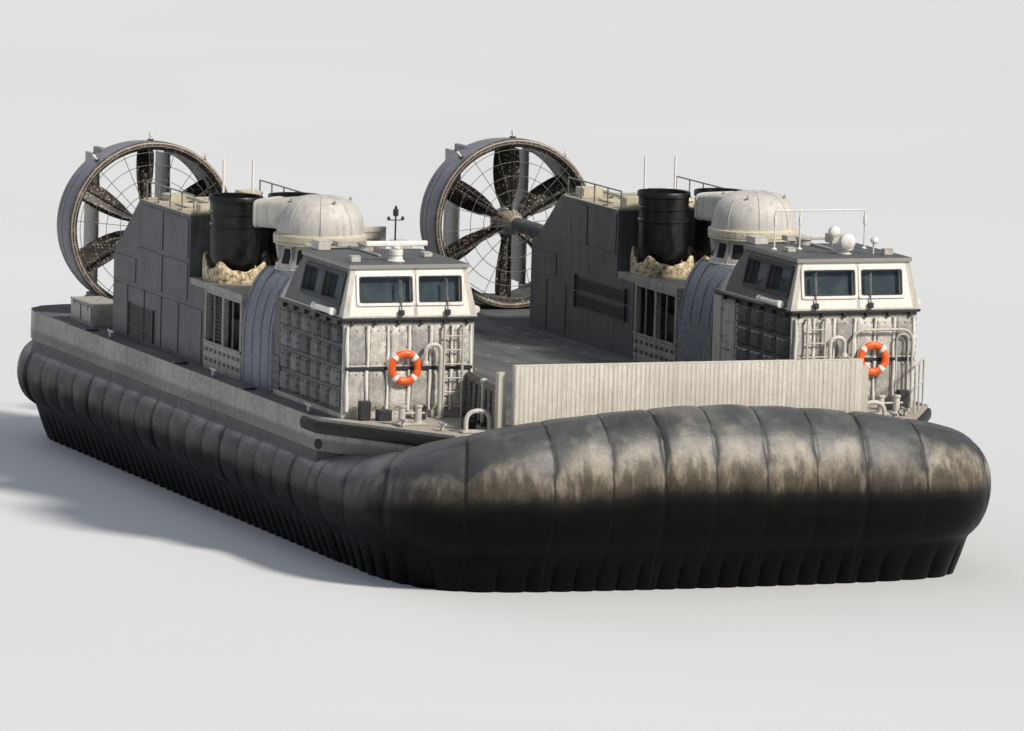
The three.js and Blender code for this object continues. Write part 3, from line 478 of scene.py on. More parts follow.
def skirt_sheet(at, rows):
    """The skirt as a grid: down the oval of the bag, whose half axes are half its width and
    half its height, then down the fingers to the hem and up their backs to the hull.  Seams
    draw the bag in as a cusp, every fourth deeper, air swells it between them, and each finger
    is a half round.  Returns the grid, and for each point the metres along the skirt, the
    metres down its girth and its share of the bag's height."""
    x, y, turn, reach, inner, top, foot = rows.T
    turn = np.radians(turn)
    mid, half = (reach + inner) / 2, (reach - inner) / 2
    high, rise = (top + foot) / 2, (top - foot) / 2
    first = np.arccos(np.clip((0.03 - mid) / half, -0.996, 1))
    last = -np.arcsin((high - FINGER_TOP) / rise)
    steps = np.linspace(0, 1, 44)[None, :]
    angle = first[:, None] + (last - first)[:, None] * steps
    gore = np.abs((at / GORE) % 1 - 0.5) * 2  # 1 at a seam, 0 midway
    off_seam = (1 - gore) * GORE / 2
    heavy = np.round(at / GORE) % 4 == 1
    cusp = np.exp(-((off_seam / np.where(heavy, 0.07, 0.04)) ** 2))
    swell = 0.022 * (1 - gore**2) - np.where(heavy, 0.045, 0.02) * cusp
    sag = 0.012 * np.sin(at * 5.3 + 1.0)[:, None] * np.sin(angle * 4.0 + at[:, None] * 0.9)
    pucker = 0.01 * np.exp(-((off_seam / 0.2) ** 2))[:, None] * np.sin(angle * 46.0)
    ring = 0.006 * np.cos(angle * 2 + at[:, None] * 1.7)
    swollen = (swell[:, None] + sag + pucker + ring) * np.sin(pi * steps) ** 0.5
    u = mid[:, None] + (half[:, None] + swollen) * np.cos(angle)
    z = high[:, None] + (rise[:, None] + swollen) * np.sin(angle)
    heel = (mid + half * np.cos(last))[:, None]
    drop = np.linspace(0, 1, 12)[None, 1:]
    part = np.abs((at / FINGER_WIDTH) % 1 - 0.5)[:, None] * 2
    bulge = 0.085 * np.sqrt(np.clip(1 - part**2, 0, 1)) - 0.05
    finger_u = heel - 0.02 - FINGER_RAKE * drop + bulge * np.sin(pi * 0.62 * np.clip(drop * 1.1, 0, 1))
    hem = 0.035 * part**3
    finger_z = FINGER_TOP * (1 - drop) + hem * drop
    flat = 0 * heel
    back_u = [heel - FINGER_RAKE - 0.12, heel - 0.97, flat - 1.28, flat - HULL_INSET]
    back_z = [hem, flat + FINGER_TOP, flat + HULL_FOOT - 0.003, flat + HULL_FOOT - 0.003]
    u = np.concatenate([flat + 0.004, u, finger_u, *back_u], 1)
    z = np.concatenate([flat + HULL_EDGE_FOOT, z, finger_z, *back_z], 1)
    x, y, turn = x[:, None], y[:, None], turn[:, None]
    grid = np.stack([x + u * np.sin(turn), y + u * np.cos(turn), z], 2)
    girth = np.concatenate([flat, np.cumsum(np.hypot(np.diff(u), np.diff(z)), 1)], 1)
    share = (z - foot[:, None]) / (top - foot)[:, None]
    cloth = np.stack([np.broadcast_to(at[:, None], girth.shape), girth, share], 2)
    return grid, cloth.reshape(-1, 3)


# Neoprene-coated nylon: black and wet below a level line, deepened low down by painted shade,
# above it a band of dried tan salt, arched in each gore and run through by brown drips, and
# slate grey over the top, lightened there as a painted sky reflection; patches and seams show
# as thin lines.  The tan is strongest on the bow, and the sides are darkened as painted shade.
skirt_rubber, node, shader, place = material("neoprene coated nylon")
cloth_place = node("Attribute", out=1, attribute_name="cloth")
run, girth, share = (node("SeparateXYZ", [cloth_place], out=k) for k in range(3))
gore = node("Math DIVIDE", [run, GORE])
gore_shade = node("TexWhiteNoise", {"W": node("Math FLOOR", [gore])}, noise_dimensions="1D")
blotch = node("TexNoise", {"Vector": place, "Scale": 0.9, "Detail": 5.0, "Roughness": 0.62})
smear = node("TexNoise", {"Vector": place, "Scale": 2.6, "Detail": 7.0, "Roughness": 0.7})
grain = node("TexNoise", {"Vector": place, "Scale": 34.0, "Detail": 4.0, "Roughness": 0.6})
hanging = node("Mapping", {"Vector": place, "Scale": (4.8, 4.8, 1.1)})
streak = node("TexNoise", {"Vector": hanging, "Scale": 1.0, "Detail": 6.0, "Roughness": 0.68})
to_seam = node("Math SUBTRACT", [node("Math FRACT", [gore]), 0.5])
to_seam = node("Math ABSOLUTE", [to_seam])

wave = node("TexNoise", {"W": run, "Scale": 0.45, "Detail": 3.0, "Roughness": 0.6}, noise_dimensions="1D")
wet_line = node("Math MULTIPLY_ADD", [streak, 0.05, node("Math MULTIPLY_ADD", [wave, 0.18, 0.42])])
up = node("Math SUBTRACT", [share, wet_line])
arch = node("Math POWER", [node("Math MULTIPLY", [to_seam, 2.0]), 3.0])
arch = node("Math MULTIPLY_ADD", [arch, -0.55, 1.0])
tall = node("Math MULTIPLY_ADD", [gore_shade, 0.14, node("Math MULTIPLY", [blotch, 0.56])])
tall = node("Math MULTIPLY", [tall, arch])
tall_start = node("Math MULTIPLY", [tall, 0.4])
head = node("MapRange", [up, tall_start, tall, 1.0, 0.0], interpolation_type="SMOOTHSTEP")
foot = node("MapRange", [up, -0.07, 0.04, 0.0, 1.0], interpolation_type="SMOOTHSTEP")
at_bow = node("MapRange", [node("SeparateXYZ", [place], out=0), 10.6, 12.6, 0.22, 1.0])
clouded = node("MapRange", [smear, 0.36, 0.58, 0.55, 1.0])
dried = node("Math MULTIPLY", [node("Math MULTIPLY", [head, foot]), at_bow])
dried = node("Math MULTIPLY", [dried, clouded])
dried = node("Math MULTIPLY", [dried, node("Math MULTIPLY_ADD", [gore_shade, 0.55, 0.5])])
low = node("Math DIVIDE", [up, tall])
drip = node("Math MULTIPLY_ADD", [low, -0.3, streak])
drip = node("ValToRGB", [drip], stops=((0.27, 0.0), (0.47, 0.85)))
salt_rim = node("MapRange", [low, 0.25, 0.65, 0.0, 0.7])
tan = node("MixRGB", [salt_rim, "#8C8170", "#ABA595"])
tan = node("MixRGB", [drip, tan, "#3D3326"])
# From near black low down to slate grey on top: the wet sheet, darkened low down as painted shade and
# lightened on top as a painted sky reflection.
height = node("Math MULTIPLY_ADD", [up, 0.8, node("Math MULTIPLY_ADD", [smear, 0.36, 0.22])])
base = node("ValToRGB", [height], stops=(
    (0.18, "#090909"), (0.37, "#13120F"), (0.43, "#232424"),
    (0.56, "#35383A"), (0.72, "#474A4D"), (0.86, "#585B5D"),
))
panels = node("TexBrick", {
    "Vector": node("CombineXYZ", [run, girth, 0.0]), "Scale": 1.0, "Mortar Size": 0.012,
    "Brick Width": 2 * GORE, "Row Height": 0.86,
    "Color1": "#C4C4C4", "Color2": "#FFFFFF", "Mortar": "#7A7A7A",
})
base = node("MixRGB MULTIPLY", [0.8, base, panels])
pale = node("ValToRGB", [blotch], stops=((0.53, 0.0), (0.66, 0.45)))
pale = node("MixRGB MULTIPLY", [1.0, pale, node("MapRange", [up, 0.12, 0.32, 0.0, 1.0])])
base = node("MixRGB", [pale, base, "#77756F"])
# Painted shade: away from the bow, along the sides, the sheet is darkened towards near black.
base = node("MixRGB", [node("MapRange", [at_bow, 0.22, 1.0, 0.68, 0.0]), base, "#0E1014"])
base = node("MixRGB", [node("Math MULTIPLY", [dried, 0.92]), base, tan])
number = node("Math ROUND", [gore])
heavy = node("Math COMPARE", [node("Math MODULO", [number, 4.0]), 1.0, 0.1])
seam_reach = node("Math MULTIPLY_ADD", [heavy, 0.014, to_seam])
seam = node("ValToRGB", [seam_reach], stops=((0.474, 0.0), (0.488, 0.85)))
base = node("MixRGB", [seam, base, "#0F0F0F"])
rough = node("ValToRGB", [smear], stops=((0.3, 0.36), (0.8, 0.58)))
ripple = node("Math MULTIPLY_ADD", [grain, 0.35, smear])
bump = node("Bump", {"Height": ripple, "Strength": 0.4, "Distance": 0.03})
dull = node("MapRange", [up, -0.12, 0.12, 0.07, 0.5])
feed(shader, {"Base Color": base, "Roughness": rough, "Normal": bump, "Specular IOR Level": dull})

bow_at, bow_rows = along(round_end(BOW_EDGE), SHEET_STEP, 0.9)
stern_at, stern_rows = along(round_end(STERN_EDGE), SHEET_STEP, 0.7)
side_at, side_rows = along(np.stack([BOW_EDGE[0], STERN_EDGE[0]]), SHEET_STEP, 0.5)
other_rows = side_rows * (1, -1, 1, 1, 1, 1, 1) + (0, 0, 180, 0, 0, 0, 0)
cheek = int(np.argmax(bow_rows[:, 1] < BOW_MIDDLE_HALF))
far = len(bow_at) - cheek
skirt_lengths = (
    ("port_bow_cheek_skirt", bow_rows[:cheek], bow_at[:cheek], "bow_skirt"),
    ("bow_middle_skirt", bow_rows[cheek - 1 : far + 1], bow_at[cheek - 1 : far + 1], "bow_skirt"),
    ("starboard_bow_cheek_skirt", bow_rows[far:], bow_at[far:], "bow_skirt"),
    ("stern_bag_skirt", stern_rows, stern_at, "stern_skirt"),
    ("port_long_skirt", side_rows, side_at, "port_side_skirt"),
    ("starboard_long_skirt", other_rows, side_at, "starboard_side_skirt"),
)
for name, rows, at, plain in skirt_lengths:
    grid, cloth = skirt_sheet(at, rows)
    made = piece(name, [skin(grid)], skirt_rubber, stands_for=[plain], crease=50.0, marks={"cloth": cloth})
    if name == "bow_middle_skirt":
        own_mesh(made)


# Bow fender.  A black rubber D-section bolted along the deck's edge from abreast of the cabin
# round to the bow ramp, scuffed grey where it has rubbed.
FENDER_LOW, FENDER_HIGH, FENDER_OUT = 2.772, 3.038, 0.088

fender_rubber, node, shader, place = material("extruded fender rubber")
rubbed = node("TexNoise", {"Vector": place, "Scale": 5.0, "Detail": 8.0, "Roughness": 0.75})
feed(shader, {
    "Base Color": node("ValToRGB", [rubbed], stops=((0.42, "#0F0F10"), (0.62, "#222221"), (0.75, "#4C4A45"))),
    "Roughness": node("ValToRGB", [rubbed], stops=((0.3, 0.45), (0.7, 0.8))),
    "Normal": node("Bump", {"Height": rubbed, "Strength": 0.3, "Distance": 0.01}),
})
x, y, turn = BOW_EDGE[:5, 0], BOW_EDGE[:5, 1], np.radians(BOW_EDGE[:5, 2])
x, y, turn = np.append(7.3, x), np.append(7.1, y), np.append(0.0, turn)
bend = np.linspace(-pi / 2, pi / 2, 9)
out = np.concatenate([[0.001], FENDER_OUT * np.cos(bend) ** 0.6, [0.001]])[None, :]
high = np.concatenate([[-1], np.sin(bend), [1]])
high = (FENDER_LOW + FENDER_HIGH) / 2 + (FENDER_HIGH - FENDER_LOW) / 2 * high
x, y, turn = x[:, None], y[:, None], turn[:, None]
grid = np.stack([x + out * np.sin(turn), y + out * np.cos(turn), high + 0 * x], 2)
both_sides("edge_fender", [skin(grid)], fender_rubber, stands_for=["{}_bow_fender"], crease=40.0)
fairlead = studs([(8.214, 7.093, 2.55)], (0.517, 0.856, 0.0), 0.115, 0.008, 24)
both_sides("fairlead_eyes", [fairlead], fender_rubber)


# Ramps and bulwarks.  Aluminium decks stiffened by close-set ribs on the outer face, pale and
# streaked by salt on the bow ramp; tread bars cross the face that vehicles drive on.
RAMPS = (  # name, place along the craft, half width, foot, head, thickness, way out
    ("bow_ramp", 11.5, 3.98, 2.7, 4.58, 0.16, 1),
    ("stern_ramp", -12.95, 2.25, 2.99, 4.85, 0.15, -1),
)
END_POST_AFT = 10.98

ramp_paint, node, shader, place, base = marine_paint(
    "salt streaked pale grey epoxy", "#C6C1B7", "#D8D4CB", "#9A9388",
    runs=0.4, chips=0.72
)
fine = node("Mapping", {"Vector": place, "Scale": (1.0, 30.0, 0.4)})
fine = node("TexNoise", {"Vector": fine, "Scale": 1.0, "Detail": 3.0, "Roughness": 0.7})
streak = node("ValToRGB", [fine], stops=((0.35, 0.86), (0.65, 1.08)))
feed(shader, {"Base Color": node("MixRGB MULTIPLY", [1.0, base, streak])})
coat_node(ramp_paint, "bow_ramp", "stern_ramp")

for name, x, half, foot, head, thick, ahead in RAMPS:
    outer, inner = x + ahead * thick / 2, x - ahead * thick / 2
    middle, tall = (foot + head) / 2, head - foot
    ribs = lattice([outer], np.arange(-half + 0.06, half - 0.04, 0.105), [middle])
    parts = [blocks(ribs, (0.01, 0.088, tall - 0.02), 0.004)]
    parts.append(blocks((outer + ahead * 0.011, 0, foot + 0.03), (0.026, 2 * half - 0.02, 0.06), 0.005))
    rise = np.arange(foot + 0.14, head - 0.1, 0.16)
    treads = lattice([inner - ahead * 0.009], [-half * 0.62, half * 0.62], rise)
    parts.append(blocks(treads, (0.02, half * 0.62, 0.035), 0.004))
    piece(name + "_stiffeners", parts, ramp_paint, name)

# The bulwark's grey is dark, partly its own colour and partly painted shade on its faces; its fore end post
# is painted pale as a painted highlight where light falls on it.
bulwark_paint, node, shader, place, base = marine_paint(
    "dark grey enamel with painted shade", "#3F4042", "#5A5A57", "#8A867C", runs=0.7
)
lit_end_post = node("Math GREATER_THAN", [node("SeparateXYZ", [place]), END_POST_AFT])
feed(shader, {"Base Color": node("MixRGB", [lit_end_post, base, "#B9B4A9"])})
coat_node(bulwark_paint, "port_bow_bulwark", "starboard_bow_bulwark")
start, end = np.array([8.46, 3.757, 0]), np.array([11.12, 4.066, 0])
stays = []
for share in np.linspace(0.04, 0.96, 7):
    foot = start + (end - start) * share
    stays.append(blocks(foot + (0, 0.128, 3.52), (0.02, 0.05, 0.82), 0.003))
    stays.append(blocks(foot + (0, 0.16, 3.16), (0.02, 0.13, 0.1), 0.003))
rail = start + (end - start) * np.linspace(0, 1, 2)[:, None] + (0, 0.05, 4.055)
stays.append(tube(rail, 0.03, 10))
both_sides("bulwark_stays", stays, bulwark_paint)


# Cabins.  Welded aluminium boxes with bolted armour plates hung outside, each with its own
# salt bloom and worn corners; a white-painted window band leans out over a dark drip ledge.
HOUSE_IN, HOUSE_MID, HOUSE_OUT = 3.69, 5.17, 6.65
CABIN_FORE, EAVES, PILOT_TOP, ROOF_TOP = 8.39, 5.25, 6.3, 6.37
PLATE_FOOT, PLATE_HEAD, INBOARD_PLATES_AFT = 3.24, 5.1, 5.43
BAND_RAKE, BAND_START = -0.45, 2.38  # the dark side band starts where z times the rake plus x passes this
WINDOW_FOOT, WINDOW_HEAD = 5.575, 6.105
SIDE_WINDOWS = ((5.72, 6.8), (6.96, 8.06))
FRONT_WINDOWS = {"port": ((3.98, 5.16), (5.33, 6.28)), "starboard": ((4.0, 4.95), (5.12, 6.3))}

cabin_paint, node, shader, place, base = marine_paint(
    "pale grey cabin epoxy", "#B6B2A9", "#C8C4BB", "#6F6A61", runs=0.7
)
xyz = [node("SeparateXYZ", [place], out=k) for k in range(3)]
post_at = node("Math MULTIPLY_ADD", [node("Math SIGN", [xyz[1]]), 0.105, 5.14])
in_band = node("Math GREATER_THAN", [xyz[2], EAVES + 0.04])
fore = node("Math GREATER_THAN", [xyz[0], 8.2])
white_band = node("Math MULTIPLY", [in_band, fore])
roofed = node("Math GREATER_THAN", [xyz[2], ROOF_TOP - 0.004])
ledge = node("Math GREATER_THAN", [xyz[2], PILOT_TOP - 0.03])
xyz[1] = node("Math ABSOLUTE", [xyz[1]])
# Painted shade: the window band on the cabin's sides is painted dark, forward of a raked line.
shaded_side_band = node("Math SUBTRACT", [in_band, fore])
raked = node("Math MULTIPLY_ADD", [xyz[2], BAND_RAKE, xyz[0]])
shaded_side_band = node("Math MULTIPLY", [shaded_side_band, node("Math GREATER_THAN", [raked, BAND_START])])
base = node("MixRGB", [node("Math MULTIPLY", [shaded_side_band, 0.85], use_clamp=True), base, "#3A3D41"])
# Painted shade: the walls behind the armour plates, and a strip aft of the outboard plates, are painted near
# black.
inboard_plated = node("Math GREATER_THAN", [xyz[0], INBOARD_PLATES_AFT])
shade_behind_plates = node("Math MAXIMUM", [inboard_plated, node("Math GREATER_THAN", [xyz[1], HOUSE_OUT - 0.05])])
shade_behind_plates = node("Math MULTIPLY", [shade_behind_plates, node("Math LESS_THAN", [xyz[2], PLATE_HEAD + 0.03])])
shade_behind_plates = node("Math MULTIPLY", [shade_behind_plates, node("Math GREATER_THAN", [xyz[2], PLATE_FOOT - 0.03])])
shade_behind_plates = node("Math MULTIPLY", [shade_behind_plates, node("Math LESS_THAN", [xyz[0], CABIN_FORE - 0.05])])
base = node("MixRGB", [node("Math MULTIPLY", [shade_behind_plates, 0.88]), base, "#26282B"])
rise = node("MapRange", [xyz[2], EAVES, PILOT_TOP, 1.38, 1.2])
off_middle = node("Math ABSOLUTE", [node("Math SUBTRACT", [xyz[1], HOUSE_MID])])
within = node("Math LESS_THAN", [off_middle, rise])
beside_post = node("Math ABSOLUTE", [node("Math SUBTRACT", [xyz[1], post_at])])
within = node("Math MULTIPLY", [within, node("Math GREATER_THAN", [beside_post, 0.04])])
white_band = node("Math MULTIPLY", [white_band, within])
base = node("MixRGB", [node("Math MULTIPLY", [white_band, 0.8]), base, "#E4E2DC"])
base = node("MixRGB", [ledge, base, "#8B8A84"])
# Painted shadow: a dark strip on the walls just under the eaves.
eaves_shadow = node("Math COMPARE", [xyz[2], EAVES - 0.06, 0.065])
base = node("MixRGB", [node("Math MULTIPLY", [eaves_shadow, 0.82]), base, "#2B2C2B"])
base = node("MixRGB", [roofed, base, "#4C4E50"])
feed(shader, {"Base Color": base})
coat_node(cabin_paint, "port_cabin", "starboard_cabin")

# Armour plate: the same paint, bleached and mottled plate by plate, with dark drips from bolts;
# the plates on the side walls are darkened as painted shade.
plate_paint, node, shader, place, base = marine_paint(
    "bleached armour plate paint", "#A9A69D", "#D2CFC7", "#5B564E", runs=0.8, chips=0.6
)
tone_and_shade = node("Attribute", out=2, attribute_name="tone_and_shade")
patch = node("TexNoise", {"Vector": place, "Scale": 7.0, "Detail": 8.0, "Roughness": 0.8})
bloom = node("ValToRGB", [patch], stops=((0.47, 0.0), (0.6, 0.8)))
base = node("MixRGB", [bloom, base, "#DAD8D2"])
low_row = node("MapRange", [node("SeparateXYZ", [place], out=2), 3.68, 3.74, 0.14, 0.0])
tone_and_shade = node("Math ADD", [tone_and_shade, low_row])
tone_and_shade = node("ValToRGB", [tone_and_shade], stops=((0.0, "#44474E"), (0.3, "#7E8289"), (1.0, "#FFFFFF")))
base = node("MixRGB MULTIPLY", [1.0, base, tone_and_shade])
feed(shader, {"Base Color": base})


rng = np.random.default_rng(61)


def hung_plates(columns, rows, wide, tall, at, along_wall, out, gap=0.03, thick=0.045):
    """Armour plates in columns and rows on a wall, from its lower corner: pillowed sheets whose
    face bulges by a cosine both ways and droops at its lower edge, each tipped a little."""
    along_wall, out, up = np.array(along_wall, float), np.array(out, float), np.array((0, 0, 1.0))
    step_w, step_h = wide / columns, tall / rows
    a = np.linspace(-1, 1, 9)
    across_plate, up_plate = np.meshgrid(a, a, indexing="ij")
    face = 0.03 * (np.cos(across_plate * pi / 2) ** 0.4 * np.cos(up_plate * pi / 2) ** 0.4)
    index = np.arange(81).reshape(9, 9)
    rim = np.concatenate([index[:-1, 0], index[-1, :-1], index[:0:-1, -1], index[0, :0:-1]])
    shapes, bolts, tones = [], [], []
    for i in range(columns):
        for j in range(rows):
            middle = np.array(at) + along_wall * (i + 0.5) * step_w + up * (j + 0.5) * step_h
            tip = rng.normal(0, 0.012, 2)
            w, h = (step_w - gap) / 2, (step_h - gap) / 2
            rise = thick + face + (tip[0] * across_plate * w + tip[1] * up_plate * h)
            edge = np.maximum(np.abs(across_plate), np.abs(up_plate)) > 0.99
            proud = np.where(edge, 0.012, rise)
            droop = 0.03 * (across_plate**2) * (up_plate < -0.9)
            top = (middle + across_plate[..., None] * w * along_wall
                   + (up_plate * h + droop)[..., None] * up + proud[..., None] * out)
            points, faces = skin(top, ring=False)
            k, n = np.arange(len(rim)), len(points)
            wall = np.stack([rim, n + k, n + (k + 1) % len(k), np.roll(rim, -1)], 1)
            back = points[rim] - out * 0.01
            shapes.append((np.concatenate([points, back]), [faces[0], wall, n + k[None, ::-1]]))
            tones.append(np.full(len(points) + len(rim), rng.random()))
            spots = [(p, q) for p in (-0.8, 0, 0.8) for q in (-0.78, 0.78)] + [(-0.8, 0), (0.8, 0)]
            bolts += [middle + along_wall * p * w + up * q * h + out * (thick + 0.02) for p, q in spots]
    heads = studs(bolts, out, 0.018, 0.018)
    return shapes + [heads], np.concatenate(tones + [np.full(len(heads[0]), 0.2)])


def leaning(along_coordinate, z, wall, proud=0.0):
    """A point on the leaning window band: it runs out by 50 mm at the eaves and back in by 160 mm
    at the front or 220 mm at the sides by the roof."""
    lean = (z - EAVES) / (PILOT_TOP - EAVES)
    if wall == "fore":
        return np.array((CABIN_FORE + 0.05 - 0.16 * lean + proud, along_coordinate, z))
    if wall == "outboard":
        return np.array((along_coordinate, HOUSE_OUT + 0.05 - 0.22 * lean + proud, z))
    return np.array((along_coordinate, HOUSE_IN - 0.05 + 0.22 * lean - proud, z))


def squared(turn, power, other=None):
    """A circle pressed towards a square: the cosine and the sine of a turn, each to a power with
    its sign kept."""
    across, up = np.cos(turn), np.sin(turn)
    return np.sign(across) * np.abs(across) ** power, np.sign(up) * np.abs(up) ** (other or power)


def window_frame(low, high, wall, section):
    """A closed frame round a window, in the plane of the leaning wall: its half sizes go as the
    cosine and sine to the power 0.1, and its section is rows of (stand-off, widening)."""
    round_u, round_v = squared(circle(56), 0.1)
    rings = []
    for stand, widen in section:
        half_u, half_v = (high - low) / 2 + widen, (WINDOW_HEAD - WINDOW_FOOT) / 2 + widen
        u = (low + high) / 2 + half_u * round_u
        v = (WINDOW_FOOT + WINDOW_HEAD) / 2 + half_v * round_v
        rings.append(np.array([leaning(p, q, wall, stand) for p, q in zip(u, v)]))
    return skin(np.stack(rings), loop=True)


white_paint, node, shader, place, base = marine_paint(
    "white window band enamel", "#DAD9D4", "#E6E5E1", "#8F8A80",
    runs=0.35, rough=(0.3, 0.5), chips=0.76
)
# Black painted steel, also used for black pieces that stand for painted shade.
black_fittings_and_shade, node, shader, place = material("black painted steel and painted shade")
scratched = node("TexNoise", {"Vector": place, "Scale": 20.0, "Detail": 5.0, "Roughness": 0.7})
feed(shader, {
    "Base Color": node("ValToRGB", [scratched], stops=((0.4, "#1C1D1F"), (0.7, "#3B3C3D"))),
    "Roughness": node("ValToRGB", [scratched], stops=((0.3, 0.4), (0.7, 0.65))),
})

front_at = (CABIN_FORE + 0.001, HOUSE_IN + 0.05, PLATE_FOOT)
shapes, tones = hung_plates(6, 2, 2.86, 1.86, front_at, (0, 1, 0), (1, 0, 0), gap=0.05)
both_sides("cabin_front_armour", shapes, plate_paint, marks={"tone_and_shade": 0.62 + 0.38 * tones})
# The side plates are given darker tones than the front ones: painted shade on the side walls.
outboard_at = (4.55, HOUSE_OUT + 0.001, PLATE_FOOT)
shapes, tones = hung_plates(6, 4, 3.78, 1.86, outboard_at, (1, 0, 0), (0, 1, 0), gap=0.075)
both_sides("cabin_outboard_armour", shapes, plate_paint, marks={"tone_and_shade": 0.01 + 0.34 * tones})
vent_plate = blocks((4.31, HOUSE_OUT + 0.015, 3.6), (0.44, 0.035, 0.72), 0.008)
both_sides("cabin_vent_plates", [vent_plate], cabin_paint)
# Black slot blocks on the vent plate: painted shade inside the slots.
slots = lattice([4.2, 4.42], [HOUSE_OUT + 0.034], [3.38, 3.6, 3.82])
both_sides("cabin_vent_slots", [blocks(slots, (0.15, 0.008, 0.075), 0.003)], black_fittings_and_shade)
inboard_at = (5.46, HOUSE_IN - 0.001, PLATE_FOOT)
shapes, tones = hung_plates(4, 4, 2.86, 1.86, inboard_at, (1, 0, 0), (0, -1, 0), gap=0.065)
both_sides("cabin_inboard_armour", shapes, plate_paint, marks={"tone_and_shade": 0.08 + 0.14 * tones})
battens = []
for k in range(7):
    for z0, z1 in ((PLATE_FOOT + 0.02, 4.13), (4.2, PLATE_HEAD - 0.02)):
        z = np.linspace(z0, z1, 9)
        y = front_at[1] + 2.86 * np.clip(k / 6, 0.01, 0.99) + rng.normal(0, 0.008)
        y = y + 0.008 * np.sin(z * 7 + k)
        wide = 0.036 + 0.008 * np.sin(z * 5 + 2 * k + z0)
        battens.append(tube(np.column_stack([CABIN_FORE + 0.052 + 0 * z, y, z]), wide, 10))
battens.append(blocks((CABIN_FORE + 0.055, HOUSE_MID, 4.222), (0.05, 2.88, 0.032), 0.01))
both_sides("cabin_front_battens", battens, white_paint, crease=60.0)
# A black band across the front, under the upper row of plates: painted shadow below their lower edges.
shadow_band = blocks((CABIN_FORE + 0.05, HOUSE_MID, 4.165), (0.045, 2.88, 0.075), 0.01)
both_sides("cabin_front_shadow_band", [shadow_band], black_fittings_and_shade)

FRAME_SECTION = ((0.0, 0.012), (0.03, 0.016), (0.03, 0.076), (0.0, 0.08))
GASKET_SECTION = ((-0.01, -0.016), (0.014, -0.012), (0.014, 0.016), (-0.01, 0.02))
WIPERS = {"port": (4.22, 5.52), "starboard": (4.33, 5.38)}
for side, mirror in SIDES:
    ahead = [(*pane, "fore") for pane in FRONT_WINDOWS[side]]
    beside = [(*pane, wall) for pane in SIDE_WINDOWS for wall in ("outboard", "inboard")]
    frames = [window_frame(*pane, FRAME_SECTION) for pane in ahead]
    gaskets = [window_frame(*pane, GASKET_SECTION) for pane in ahead + beside]
    gaskets += [window_frame(*pane, FRAME_SECTION) for pane in beside]
    arms, motors = [], []
    for y in WIPERS[side]:
        arm = [leaning(y, z, "fore", 0.06) for z in (WINDOW_FOOT - 0.2, WINDOW_HEAD - 0.06)]
        blade = [leaning(y + 0.03, z, "fore", 0.05) for z in (WINDOW_FOOT + 0.05, WINDOW_HEAD - 0.03)]
        arms += [tube(arm, 0.016, 8), tube(blade, 0.01, 6)]
        motors.append(blocks(leaning(y, WINDOW_FOOT - 0.22, "fore", 0.05), (0.08, 0.13, 0.12), 0.02))
    piece(side + "_window_frames", mirrored(frames, mirror), white_paint)
    piece(side + "_window_gaskets", mirrored(gaskets, mirror), black_fittings_and_shade)
    piece(side + "_wiper_arms", mirrored(arms, mirror), galvanised)
    piece(side + "_wiper_motors", mirrored(motors, mirror), black_fittings_and_shade)

# Drip ledge under the band with its brackets, roof edge rail, and the tube under the side windows
ledge_parts = [blocks((CABIN_FORE + 0.06, HOUSE_MID, EAVES - 0.03), (0.11, 3.04, 0.05), 0.01),
               blocks((6.45, HOUSE_OUT + 0.055, EAVES - 0.03), (3.9, 0.1, 0.05), 0.01),
               blocks((6.45, HOUSE_IN - 0.055, EAVES - 0.03), (3.9, 0.1, 0.05), 0.01)]
for y in np.linspace(3.86, 6.48, 6):
    ledge_parts.append(blocks((CABIN_FORE + 0.05, y, EAVES - 0.1), (0.09, 0.05, 0.12), 0.008))
for x in np.linspace(4.8, 8.2, 6):
    for y, out in ((HOUSE_OUT, 1), (HOUSE_IN, -1)):
        ledge_parts.append(blocks((x, y + out * 0.05, EAVES - 0.1), (0.05, 0.09, 0.12), 0.008))
both_sides("drip_ledges", ledge_parts, black_fittings_and_shade)
tube_parts = []
for y, out in ((HOUSE_OUT, 1), (HOUSE_IN, -1)):
    tube_parts += [tube([(x0, y + out * 0.15, 5.36), (x1, y + out * 0.15, 5.36)], r, 16)
                   for x0, x1, r in ((6.95, 8.1, 0.068), (6.93, 7.07, 0.082), (7.98, 8.12, 0.082))]
    tube_parts += [blocks((x, y + out * 0.08, 5.36), (0.05, 0.14, 0.05), 0.006) for x in (7.2, 7.85)]
both_sides("side_air_pipe", tube_parts, white_paint)


# Glass.  Thick laminated panes with a grey-green tint, seen dark from outside.
pane_glass, node, shader, place = material("tinted laminated glass")
smudge = node("TexNoise", {"Vector": place, "Scale": 3.0, "Detail": 5.0})
feed(shader, {
    "Base Color": node("ValToRGB", [smudge], stops=((0.35, "#5C6E78"), (0.7, "#7A8C94"))),
    "Roughness": node("ValToRGB", [smudge], stops=((0.4, 0.03), (0.75, 0.14))),
    "Transmission Weight": 0.72, "IOR": 1.5,
})
coat_node(pane_glass, "port_cabin_glass", "starboard_cabin_glass")


# Lift-fan casings.  Riveted plate scrolls whose shoulders curve up into the thruster's neck,
# with a bell-mouthed eye and its wire guard on the fore and aft faces, in slate blue-grey.
FAN_AFT, FAN_FORE, FAN_SHOULDER, FAN_TOP, FAN_NECK = 1.88, 3.86, 4.3, 5.65, 1.0
EYE_RADIUS, EYE_HEIGHT = 0.76, 4.3
THRUSTER_X = 2.74

